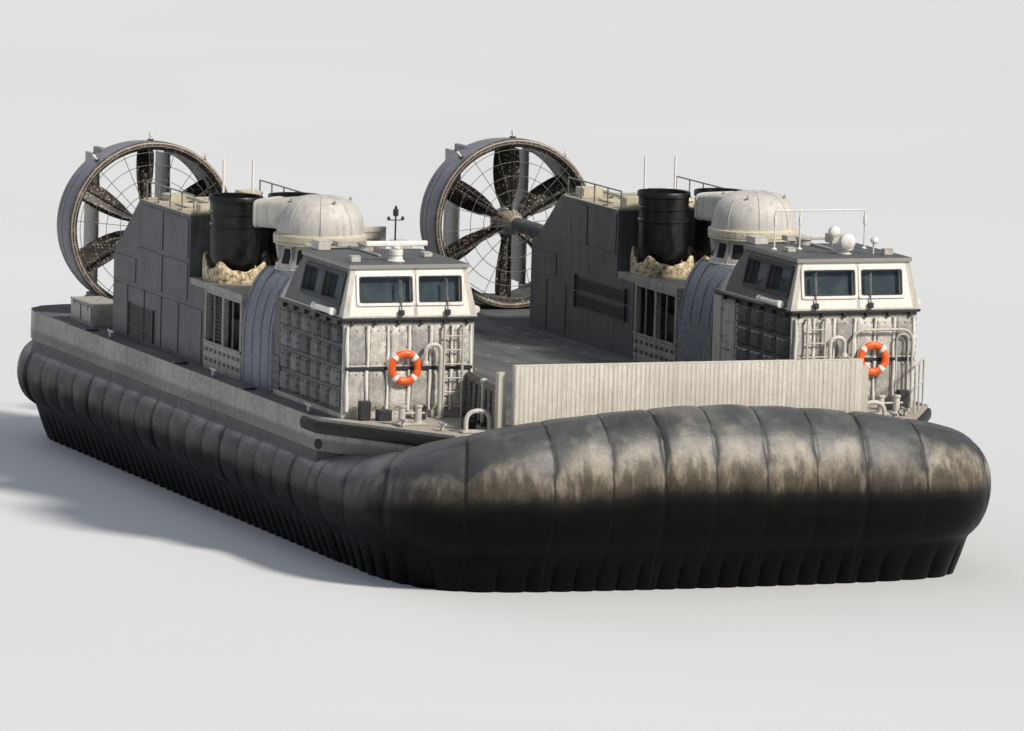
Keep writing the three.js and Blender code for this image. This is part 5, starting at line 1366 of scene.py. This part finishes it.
blade_skin, node, shader, place = material("eroded composite blade")
area = node("TexNoise", {"Vector": place, "Scale": 3.0, "Detail": 6.0, "Roughness": 0.7})
feed(shader, {
    "Base Color": node("MixRGB", [freckles(node, place, area), "#242220", "#A89D8A"]),
    "Roughness": node("ValToRGB", [area], stops=((0.3, 0.38), (0.7, 0.6))),
})
coarse = np.arange(len(BLADE_STATIONS))
fine = np.linspace(0, len(BLADE_STATIONS) - 1, 33)
stations = np.stack([np.interp(fine, coarse, column) for column in BLADE_STATIONS.T], 1)
t = circle(26)
rings = []
for r, chord, thick, pitch in stations:
    wide = chord / 2 * np.cos(t)
    over = thick / 2 * np.sin(t) * (1.0 + 0.45 * np.cos(t)) * 0.95 + 0.03 * chord * (1 - np.cos(t) ** 2)
    s, c = sin(radians(pitch)), cos(radians(pitch))
    rings.append(np.column_stack([wide * s + over * c, wide * c - over * s, 0 * wide + r]))
points, faces = skin(rings)
hub = duct_middle + (PROP_X, 0, 0)
blade_parts = []
for a in circle(6):
    spin = np.array([[1, 0, 0], [0, cos(a), sin(a)], [0, -sin(a), cos(a)]])
    blade_parts.append((points @ spin + hub, faces))
both_sides("propeller_blades", blade_parts, blade_skin, "{}_propeller", ["{}_propeller"], crease=50.0)

spinner = [(0.115, 0.174), (0.27, 0.174), (0.32, 0.16), (0.33, 0.12), (0.33, -0.06), (0.322, -0.14),
           (0.3, -0.22), (0.262, -0.3), (0.21, -0.36), (0.13, -0.412), (0.05, -0.428)]
hub_parts = [turned(spinner, 48, hub, 0)]
for a in circle(6):
    root = np.array((0, sin(a), cos(a)))
    hub_parts.append(tube([hub + root * 0.27, hub + root * 0.365], 0.115, 20))
    ring = [hub + root * 0.34 + (0.1 * cos(b), 0.1 * sin(b) * cos(a), -0.1 * sin(b) * sin(a))
            for b in circle(8)]
    hub_parts.append(studs(ring, root, 0.012, 0.035))
both_sides("propeller_hub", hub_parts, tan_paint, "{}_propeller", crease=35.0)


# Rudders.  Ribbed aluminium fins of a symmetrical wing section behind each duct, on pins in
# the duct's arms, with a pair of lever arms that the link drives.
RUDDER_AXIS, RUDDER_NOSE, RUDDER_MIDDLE, RUDDER_CHORD = -12.0, -11.8, -12.295, 0.99
RUDDER_FOOT, RUDDER_HEAD = 3.567, 6.763

rudder_paint, node, shader, place, base = marine_paint(
    "rudder grey epoxy", "#8C8D8D", "#A3A19B", "#4D4A45", runs=0.8
)
t = np.linspace(0, 1, 15)
share = t**1.6
wing = 2.97 * np.sqrt(share) - 1.26 * share - 3.52 * share**2 + 2.84 * share**3 - 1.02 * share**4
wing = 0.08 * wing + 0.008 * share
aft = RUDDER_NOSE - RUDDER_MIDDLE - RUDDER_CHORD * share
section = np.column_stack([aft, wing, 0 * aft])
section = np.concatenate([section, (section * (1, -1, 1))[:0:-1]])
rib = section * (0.995, 1.02, 1) + np.sign(section) * (0, 0.006, 0)
levels = [(RUDDER_FOOT, 0.93), (RUDDER_FOOT + 0.03, 1.0), (RUDDER_HEAD - 0.03, 1.0), (RUDDER_HEAD, 0.93)]
for name, y in (("inboard", DUCT_Y - RUDDER_APART), ("outboard", DUCT_Y + RUDDER_APART)):
    parts = [skin(np.stack([section * k + (RUDDER_MIDDLE, y, z) for z, k in levels]))]
    for z in np.linspace(RUDDER_FOOT + 0.3, RUDDER_HEAD - 0.3, 7):
        parts.append(skin(np.stack([rib + (RUDDER_MIDDLE, y, z + s) for s in (-0.022, 0.022)])))
    for z0, z1 in ((RUDDER_FOOT - 0.148, RUDDER_FOOT + 0.05), (RUDDER_HEAD - 0.05, RUDDER_HEAD + 0.148)):
        parts.append(tube([(RUDDER_AXIS, y, z0), (RUDDER_AXIS, y, z1)], 0.0445, 16))
    rudder = "{}_" + name + "_rudder"
    both_sides(name + "_rudder_fin", parts, rudder_paint, rudder, [rudder], crease=40.0)


# Lockers.  Painted aluminium stowage boxes on the side deck abreast of the ducts.
locker_paint = marine_paint(
    "haze grey enamel", "#9A9A95", "#B3AFA4", "#5E5A53", runs=0.7
)[0]
coat_node(locker_paint, "port_aft_locker", "starboard_aft_locker")
locker_parts = [blocks((-9.1, 6.325, 3.6), (1.64, 0.79, 0.045), 0.01)]
locker_parts += [blocks((x, 6.72, 3.5), (0.05, 0.03, 0.14), 0.006) for x in (-9.6, -8.6)]
locker_parts += [blocks((x, 6.715, 3.36), (0.7, 0.02, 0.36), 0.006) for x in (-9.5, -8.7)]
both_sides("locker_lids", locker_parts, locker_paint)


# Whip aerials and aerial frame.  White laminate whips on ferrules and sprung bases; a tube
# frame over the port cabin, and a pole with an anemometer over the starboard one.
WHIP_X = -2.2
WHIP_YS = {"port": (4.55, 5.3), "starboard": (5.0, 5.7)}

whip = [(0.075, 0.001), (0.075, 0.03), (0.045, 0.05), (0.045, 0.12), (0.032, 0.14), (0.032, 0.4),
        (0.028, 0.42), (0.026, 1.168), (0.012, 1.198)]
for side, mirror in SIDES:
    low, high = WHIP_YS[side]
    parts = [turned(whip, 14, (WHIP_X, y, HOUSE_TOP)) for y in (low, high)]
    middle = (WHIP_X, (low + high) / 2, HOUSE_TOP + 0.012)
    parts.append(blocks(middle, (0.16, high - low + 0.2, 0.022), 0.005))
    piece(side + "_whips", mirrored(parts, mirror), white_paint, "craft", [side + "_whip_aerials"], 40.0)

frame_posts, frame_x, frame_top, bend = (4.05, 4.65, 6.2), 6.5, 7.23, 0.06
corner = np.linspace(0, pi / 2, 6)
path = [(frame_x, frame_posts[0], ROOF_TOP + 0.001)]
path += [(frame_x, frame_posts[0] + bend - bend * cos(a), frame_top - bend + bend * sin(a)) for a in corner]
path += [(frame_x, frame_posts[2] - bend + bend * sin(a), frame_top - bend + bend * cos(a)) for a in corner]
path += [(frame_x, frame_posts[2], ROOF_TOP + 0.001)]
parts = [tube(path, 0.018, 10)]
parts.append(tube([(frame_x, frame_posts[1], z) for z in (ROOF_TOP + 0.001, frame_top)], 0.018, 10))
for y in frame_posts:
    parts.append(turned([(0.06, 0.001), (0.06, 0.02), (0.022, 0.05)], 12, (frame_x, y, ROOF_TOP)))
    parts.append(turned([(0.03, 6.9), (0.034, 6.93), (0.034, 7.07), (0.02, 7.12)], 12, (frame_x, y, 0)))
piece("port_aerial_loop", parts, white_paint, stands_for=["aerial_frame"], crease=40.0)

foot = [(0.09, 0.001), (0.09, 0.025), (0.04, 0.06), (0.022, 0.08)]
foot = [(radius, ROOF_TOP + rise) for radius, rise in foot] + [(0.018, 7.2)]
head = [(0.03, 7.18), (0.06, 7.2), (0.06, 7.33), (0.03, 7.35), (0.02, 7.41)]
parts = [turned(foot, 14, (6.3, -4.75, 0)), turned(head, 14, (6.3, -4.75, 0))]
parts.append(tube([(6.3, -4.91, 7.1), (6.3, -4.59, 7.1)], 0.012, 8))
parts += [turned([(0.035, 7.1), (0.04, 7.12), (0.02, 7.18)], 10, (6.3, y, 0)) for y in (-4.91, -4.59)]
piece("wind_gauge_pole", parts, black_fittings_and_shade, stands_for=["masthead_pole"], crease=40.0)


# Life rings.  Orange vinyl over foam, on brackets at each cabin's front, with four white
# reflective bands sewn round them and a white grab line drawn tight under the bands.
RING_X, RING_Z, RING_RADIUS, RING_WIDE, RING_DEEP = 8.55, 4.19, 0.295, 0.085, 0.06

ring_vinyl, node, shader, place = material("sun faded orange vinyl")
faded = node("TexNoise", {"Vector": place, "Scale": 9.0, "Detail": 6.0, "Roughness": 0.7})
feed(shader, {
    "Base Color": node("ValToRGB", [faded], stops=((0.3, "#C9430F"), (0.55, "#E3601F"), (0.75, "#E88A55"))),
    "Roughness": node("ValToRGB", [faded], stops=((0.3, 0.35), (0.7, 0.55))),
})


def part_of_ring(middle, start, end, grow, steps=8):
    """Part of a life ring: its oval section swept about X from one angle to another."""
    t, a = circle(16), np.linspace(start, end, steps)[:, None]
    reach = RING_RADIUS + (RING_WIDE + grow) * np.cos(t)
    return skin(middle + about_x((RING_DEEP + grow) * np.sin(t), reach, a))


for side, y in (("port", 5.58), ("starboard", -5.3)):
    middle = (RING_X, y, RING_Z)
    section = [(RING_RADIUS + RING_WIDE * cos(t), RING_DEEP * sin(t)) for t in circle(20)]
    body = turned(section, 72, middle, 0, loop=True)
    piece(side + "_life_ring_body", [body], ring_vinyl, stands_for=[side + "_life_ring"])
    bands = [part_of_ring(middle, a - 0.15, a + 0.15, 0.004) for a in np.linspace(pi / 4, 7 * pi / 4, 4)]
    line = about_x(0, RING_RADIUS + RING_WIDE + 0.004, circle(64))
    bands.append(tube(middle + line, 0.008, 6, loop=True))
    piece(side + "_life_ring_bands", bands, white_paint)
    hook = np.array([(8.4, 0, 4.39), (8.66, 0, 4.39), (8.67, 0, 4.46)])
    hooks = [tube(hook + (0, y + s, 0), 0.012, 8) for s in (-0.12, 0.12)]
    piece(side + "_life_ring_hooks", hooks, galvanised)


# Ladders and rails on the foredeck.  Welded aluminium tube, painted grey: a boarding ladder
# and a gooseneck vent before each cabin, and to port a bent grab rail and an edge rail.
rail_paint, node, shader, place, base = marine_paint(
    "light grey rail paint", "#B4B2AB", "#CFCDC6", "#6A655B", runs=0.5
)


def bent(corners, reach, steps=6):
    """A path through corners, each rounded by an arc-like curve that starts and ends at a reach
    from it: (1-t)^2 a + 2t(1-t) corner + t^2 b."""
    corners = np.array(corners, float)
    path = [corners[0]]
    for before, corner, after in zip(corners, corners[1:], corners[2:]):
        a = corner + (before - corner) / np.linalg.norm(before - corner) * reach
        b = corner + (after - corner) / np.linalg.norm(after - corner) * reach
        t = np.linspace(0, 1, steps)[:, None]
        path += list((1 - t) ** 2 * a + 2 * t * (1 - t) * corner + t**2 * b)
    return np.array(path + [corners[-1]])


LADDER_X, LADDER_YS, LADDER_TOP = 8.56, (4.0, 4.42), 5.1
rails = []
for y in LADDER_YS:
    rails.append(tube([(LADDER_X, y, DECK), (LADDER_X, y, LADDER_TOP)], 0.026, 12))
    rails += [blocks((8.475, y, z), (0.165, 0.04, 0.04), 0.006) for z in (3.3, 5.05)]
for z in np.arange(3.35, LADDER_TOP, 0.3):
    rails.append(tube([(LADDER_X, y, z) for y in LADDER_YS], 0.018, 10))
gooseneck = [(8.62, 4.52, DECK), (8.62, 4.52, 4.68), (8.62, 4.86, 4.68), (8.62, 4.86, 4.33)]
rails.append(tube(bent(gooseneck, 0.17, 9), 0.048, 16))
rails.append(turned([(0.05, 4.34), (0.075, 4.31), (0.075, 4.25), (0.05, 4.25)], 16, (8.62, 4.86, 0)))
rails.append(turned([(0.09, 0.001), (0.09, 0.03), (0.05, 0.05)], 16, (8.62, 4.52, DECK)))
both_sides("foredeck_rails", rails, rail_paint, stands_for=["{}_cabin_ladder"], crease=45.0)
wide_loop = [(8.58, 5.07, DECK), (8.58, 5.07, 4.83), (8.58, 6.5, 4.83), (8.58, 6.5, DECK)]
inner_loop = [(8.58, 6.12, DECK), (8.58, 6.12, 4.72), (8.58, 6.4, 4.72), (8.58, 6.4, DECK)]
grab = [tube(bent(wide_loop, 0.3, 8), 0.03, 12), tube(bent(inner_loop, 0.13, 8), 0.02, 10)]
grab += [blocks((8.49, y, 4.6), (0.17, 0.035, 0.035), 0.006) for y in (5.07, 6.5)]
edge_rail = [(8.3, 6.92, DECK), (8.3, 6.92, 4.15), (8.95, 6.52, 4.15), (9.6, 6.13, 4.15), (9.6, 6.13, DECK)]
grab += [tube(bent(edge_rail, 0.16), 0.024, 10), tube([(8.95, 6.52, DECK), (8.95, 6.52, 4.15)], 0.022, 10)]
grab.append(tube([(8.3, 6.92, 3.65), (9.6, 6.13, 3.65)], 0.016, 8))
piece("port_grab_rail", grab, rail_paint, crease=45.0)


# Foredeck gear.  Painted castings for mooring: twin bitts, a horn-like fairlead by the ramp on
# its welded pad, a warping post, cleats and vent boxes, all welded to the deck plate.
bitt = [(0.11, 0.04), (0.075, 0.07), (0.075, 0.36), (0.095, 0.38), (0.095, 0.42), (0.0, 0.43)]
gear = [turned(bitt, 18, (9.55, y, DECK)) for y in (5.35, 5.72)]
gear.append(blocks((9.55, 5.535, DECK + 0.021), (0.34, 0.72, 0.04), 0.012))
gear.append(tube([(9.55, 5.2, DECK + 0.25), (9.55, 5.87, DECK + 0.25)], 0.022, 8))
hoop = [(10.95, 4.27, 3.13), (10.95, 4.27, 3.56), (10.95, 4.81, 3.56), (10.95, 4.81, 3.13)]
gear.append(tube(bent(hoop, 0.26, 8), 0.05, 14))
gear.append(blocks((10.95, 4.54, DECK + 0.026), (0.3, 0.8, 0.05), 0.015))
gear.append(tube([(9.85, 4.0, DECK), (9.85, 4.0, DECK + 0.92)], 0.055, 16))
gear.append(turned([(0.085, 0.92), (0.085, 0.97), (0.05, 1.0), (0.0, 1.01)], 16, (9.85, 4.0, DECK)))
horns = np.array([(-0.19, 0, 0.16), (-0.1, 0, 0.145), (0.1, 0, 0.145), (0.19, 0, 0.16)])
for x, y in ((10.6, 5.2), (9.85, 5.8), (7.2, 6.95), (1.0, 6.95), (-6.2, 6.95)):
    gear.append(blocks((x, y, DECK + 0.075), (0.09, 0.07, 0.15), 0.012))
    gear.append(tube(horns + (x, y, DECK), 0.026, 10))
both_sides("mooring_gear", gear, rail_paint, crease=40.0)
gear = [blocks((8.72, 5.0, 3.26), (0.2, 0.22, 0.31), 0.015),
        blocks((8.8, 5.85, 3.22), (0.24, 0.3, 0.23), 0.015),
        blocks((8.7, 6.25, 3.31), (0.18, 0.24, 0.41), 0.015),
        blocks((10.3, 4.5, 3.19), (0.3, 0.24, 0.17), 0.02)]
filler = [(0.17, 0.001), (0.17, 0.03), (0.15, 0.05), (0.0, 0.055)]
gear += [turned(filler, 24, (x, 6.95, DECK)) for x in (-1.3, 3.3, -7.6)]
both_sides("deck_boxes", gear, black_fittings_and_shade, crease=40.0)


# Cabin roof gear.  White enamelled lamps on brackets, the radar's turning bar on its motor
# drum, and small grey junction boxes and cable trunks screwed to the roof plate.
lamp_at = np.array((7.5, 5.3, ROOF_TOP + 0.29))


def drum(middle, radius, deep):
    """A round lamp facing forwards: a domed back, a rim and a domed lens."""
    steps = [(0.2, -0.62), (0.55, -0.55), (0.85, -0.3), (0.97, 0.0), (1.0, 0.3), (1.0, 0.88), (1.06, 0.9),
             (1.06, 1.0), (0.96, 1.02), (0.85, 1.12), (0.5, 1.26), (0.0, 1.3)]
    return turned(np.array(steps) * (radius, deep), 32, middle, 0)


parts = [drum(lamp_at, 0.165, 0.17)]
parts.append(drum(lamp_at + (-0.14, -0.24, 0.2), 0.115, 0.13))
parts.append(drum(lamp_at + (0.12, 0.62, 0.02), 0.075, 0.1))
parts.append(turned([(0.14, 0.001), (0.14, 0.02), (0.08, 0.04), (0.07, 0.14)], 20, (7.5, 5.3, ROOF_TOP)))
yoke = np.array([(0, -0.19, 0), (0, -0.19, -0.2), (0, 0.19, -0.2), (0, 0.19, 0)])
parts.append(tube(bent(lamp_at + yoke, 0.06), 0.016, 8))
parts.append(tube([lamp_at + (-0.14, -0.24, -0.285), lamp_at + (-0.14, -0.24, 0.12)], 0.022, 10))
parts.append(tube([lamp_at + (0.12, 0.62, -0.285), lamp_at + (0.12, 0.62, -0.04)], 0.018, 10))
piece("port_searchlights", parts, white_paint, stands_for=["searchlight"], crease=35.0)

RADAR_X, RADAR_Y, RADAR_HEAD = 7.7, -5.25, 6.65
pedestal = [(0.19, 0.001), (0.19, 0.02), (0.155, 0.04), (0.135, 0.12), (0.15, 0.135)]
pedestal = [(radius, ROOF_TOP + rise) for radius, rise in pedestal]
pedestal += [(0.15, 6.615), (0.14, 6.629), (0.042, 6.629)]
parts = [turned(pedestal, 32, (RADAR_X, RADAR_Y, 0))]
parts.append(blocks((RADAR_X - 0.17, RADAR_Y, RADAR_HEAD - 0.12), (0.12, 0.16, 0.12), 0.02))
piece("starboard_radar_drum", parts, white_paint, stands_for=["radar_pedestal"], crease=35.0)
spread = np.array((-0.7, -0.692, -0.66, -0.2, 0.0, 0.2, 0.66, 0.692, 0.7))
share = np.array((0.75, 0.9, 0.96, 1.0, 1.0, 1.0, 0.96, 0.9, 0.75))
deep, high = squared(circle(20), 0.4)
bar = [np.column_stack([0.064 * k * deep, 0 * deep + y, 0.1 + 0.059 * k * high])
       for y, k in zip(spread, share)]
spindle = [(0.038, -0.12), (0.038, -0.012), (0.093, -0.008), (0.095, 0.03), (0.07, 0.045)]
radar_middle = (RADAR_X, RADAR_Y, RADAR_HEAD)
parts = [skin(np.stack(bar) + radar_middle), turned(spindle, 24, radar_middle)]
piece("radar_bar", parts, white_paint, "radar", ["radar_scanner"], crease=35.0)
box_places = [  # middle and size along and across the roof, height
    (5.2, 4.2, 0.5, 0.34, 0.16), (4.75, 5.3, 0.3, 0.5, 0.12), (5.25, 6.05, 0.42, 0.3, 0.2),
    (7.75, 6.2, 0.16, 0.22, 0.14), (6.9, 4.25, 0.24, 0.2, 0.1), (5.9, 5.3, 1.9, 0.06, 0.05),
    (4.6, 5.85, 0.14, 0.7, 0.05),
]
boxes = [blocks((x, y, ROOF_TOP + h / 2 + 0.001), (a, b, h), 0.01) for x, y, a, b, h in box_places]
vent = [(0.16, 0.001), (0.16, 0.12), (0.2, 0.13), (0.19, 0.18), (0.0, 0.21)]
boxes.append(turned(vent, 24, (5.6, 5.15, ROOF_TOP)))
both_sides("roof_boxes", boxes, rail_paint, crease=40.0)


# Cabin doors.  Stiffened weathertight leaves, with a raised rim, six dogs and a lever, hung on
# the forward edge and opening onto the cargo deck.
DOOR_AFT, DOOR_FORE, DOOR_FOOT, DOOR_HEAD, DOOR_PIN_X, DOOR_PIN_Y = 4.5, 5.3, 3.21, 5.11, 5.335, 3.658
door_x, door_z = (DOOR_AFT + DOOR_FORE) / 2, (DOOR_FOOT + DOOR_HEAD) / 2
leaf = [blocks((door_x, 3.747, door_z), (0.8, 0.126, 1.9), 0.008)]
leaf += [blocks((x, 3.68, door_z), (0.05, 0.02, 1.8), 0.006) for x in (DOOR_AFT + 0.06, DOOR_FORE - 0.06)]
leaf += [blocks((door_x, 3.68, z), (0.7, 0.02, 0.05), 0.006)
         for z in (DOOR_FOOT + 0.07, 3.7, door_z, 4.62, DOOR_HEAD - 0.07)]
for z in (DOOR_FOOT + 0.2, door_z, DOOR_HEAD - 0.2):
    leaf.append(blocks((DOOR_PIN_X - 0.075, 3.667, z), (0.16, 0.034, 0.08), 0.006))
pin = [(DOOR_PIN_X, DOOR_PIN_Y, z) for z in (DOOR_FOOT - 0.055, DOOR_HEAD + 0.055)]
leaf.append(tube(pin, 0.0178, 12))
both_sides("door_leaf", leaf, cabin_paint, "{}_door", ["{}_cabin_door"])
dogs = []
for z in (3.45, door_z + 0.12, 4.87):
    dogs.append(tube([(DOOR_AFT + 0.1, 3.69, z), (DOOR_AFT + 0.1, 3.63, z)], 0.022, 10))
    dogs.append(blocks((DOOR_AFT + 0.16, 3.635, z), (0.17, 0.02, 0.035), 0.006))
lever = [(4.78, 3.68, 4.0), (4.78, 3.6, 4.0), (5.04, 3.6, 4.0), (5.04, 3.68, 4.0)]
dogs.append(tube(bent(lever, 0.04), 0.014, 8))
both_sides("door_dogs", dogs, galvanised, "{}_door")


# Cockpit.  A raised floor and instrument desk in matt dark paint with glass screens and a
# helm column; two crew seats with padded vinyl cushions on steel boxes.
desk_paint, node, shader, place = material("matt desk paint")
grain = node("TexNoise", {"Vector": place, "Scale": 90.0, "Detail": 3.0})
painted = node("ValToRGB", [grain], stops=((0.35, "#34373A"), (0.7, "#43474A")))
feed(shader, {"Base Color": painted, "Roughness": 0.7})
coat_node(desk_paint, "port_cockpit_console", "starboard_cockpit_console")
desk_slope = np.array((0.35, 0.0, 0.22)) / np.hypot(0.35, 0.22)
desk_up = np.array((-desk_slope[2], 0.0, desk_slope[0]))
sheet = np.array([(-0.16, -0.2), (0.16, -0.2), (0.16, 0.2), (-0.16, 0.2)])
sheet = sheet[:, :1] * desk_slope + sheet[:, 1:] * (0, 1, 0)
sheet = np.stack([sheet - desk_up * 0.004, sheet + desk_up * 0.018, sheet * 0.92 + desk_up * 0.022])
screens = [skin(sheet + (7.83, y, 5.012)) for y in (4.2, 4.75, 5.55, 6.1)]
both_sides("desk_screens", screens, pane_glass)
helm = []
for y in (4.48, 5.8):
    helm.append(tube([(7.6, y, 4.3), (7.42, y, 4.98)], 0.03, 10))
    wheel = [(7.5, y - 0.15, 5.1), (7.42, y - 0.15, 4.98), (7.42, y + 0.15, 4.98), (7.5, y + 0.15, 5.1)]
    helm.append(tube(bent(wheel, 0.06), 0.018, 8))
for y in (5.0, 5.14, 5.28):
    helm.append(tube([(7.75, y, 4.97), (7.66, y, 5.12)], 0.01, 6))
    helm.append(turned([(0.0, 5.1), (0.025, 5.12), (0.025, 5.15), (0.0, 5.17)], 10, (7.66, y, 0)))
both_sides("helm_columns", helm, black_fittings_and_shade)

seat_vinyl, node, shader, place = material("padded black vinyl")
leathery = node("TexVoronoi", {"Vector": place, "Scale": 160.0})
rubbed = node("TexNoise", {"Vector": place, "Scale": 6.0, "Detail": 5.0})
feed(shader, {
    "Base Color": node("ValToRGB", [rubbed], stops=((0.35, "#232629"), (0.7, "#3A3E42"))),
    "Roughness": node("ValToRGB", [rubbed], stops=((0.35, 0.42), (0.7, 0.6))),
    "Normal": node("Bump", {"Height": leathery, "Strength": 0.15, "Distance": 0.002}),
})


def cushion(middle, half, lean, piped=0.03):
    """A crowned cushion: a box whose walls round over by a high power of the sine and cosine of
    its turn, with a crown that rises to its middle, leaned back by an angle about Y."""
    u, v = squared(circle(40), 0.3)
    crown = ((0.05, 1.0), (0.35, 0.96), (0.65, 0.82), (0.85, 0.62), (0.95 * (1 + piped), 0.42), (1.0, 0.15),
             (1.0, -0.3), (0.96, -0.75), (0.88, -1.0))
    rings = [np.column_stack([u * share, v * share, 0 * u + height]) * half for share, height in crown]
    tip = np.array([[cos(lean), 0, sin(lean)], [0, 1, 0], [-sin(lean), 0, cos(lean)]])
    points, faces = skin(rings)
    return points @ tip.T + middle, faces


frames = [blocks((6.7, 5.15, 4.29), (0.4, 1.7, 0.06), 0.01)]
for y in (4.48, 5.8):
    frames.append(blocks((6.72, y, 4.48), (0.44, 0.42, 0.38), 0.03))
    for beside in (y - 0.25, y + 0.25):
        arm = bent([(6.55, beside, 4.72), (6.52, beside, 5.0), (6.95, beside, 5.02)], 0.08)
        frames.append(tube(arm, 0.022, 10))
both_sides("seat_frames", frames, galvanised, stands_for=["{}_cockpit_seats"])
for k, y in enumerate((4.48, 5.8)):
    pan = cushion((6.79, y, 4.75), (0.26, 0.235, 0.075), 0.0)
    back = cushion((6.5, y, 5.16), (0.36, 0.235, 0.065), 1.38)
    for name, shape in (("pan", pan), ("back", back)):
        for side, mirror in SIDES:
            made = piece(f"{side}_seat_{name}_{k + 1}", mirrored([shape], mirror), seat_vinyl, crease=60.0)


# Keel bags.  Inflated rubber bags down the middle line and across the craft, gathered at every
# frame, that divide the cushion underneath.
BAG_FOOT, BAG_TOP, BAG_HALF = 0.165, 1.599, 0.238


def bag(start, end, pleats):
    """An inflated wall along X: a rounded upright section whose width swells between frames by
    the root of a sine."""
    along_bag = np.linspace(0, 1, pleats * 8 + 1)
    swell = 0.72 + 0.28 * np.abs(np.sin(along_bag * pleats * pi)) ** 0.5
    swell[[0, -1]] = 0.4
    side, rise = squared(circle(24), 0.6, 0.25)
    across = BAG_HALF * swell[:, None] * side
    up = (BAG_TOP + BAG_FOOT) / 2 + (BAG_TOP - BAG_FOOT) / 2 * rise + 0 * across
    return np.stack([start + (end - start) * along_bag[:, None] + 0 * across, across, up], 2)


long_bags = [skin(bag(-10.99, -2.66, 13)), skin(bag(-2.14, 9.29, 18)), skin(bag(-2.66, -2.14, 1))]
cross = bag(0.2, 5.49, 8)[..., [1, 0, 2]] + (-2.4, 0, 0)
bags = long_bags + [skin(cross), skin(cross * (1, -1, 1))]
piece("keel_bag_walls", bags, skirt_rubber, stands_for=["keel_bags"], crease=60.0)


# The box round every shown piece, by its lowest and highest corners.
low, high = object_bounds()
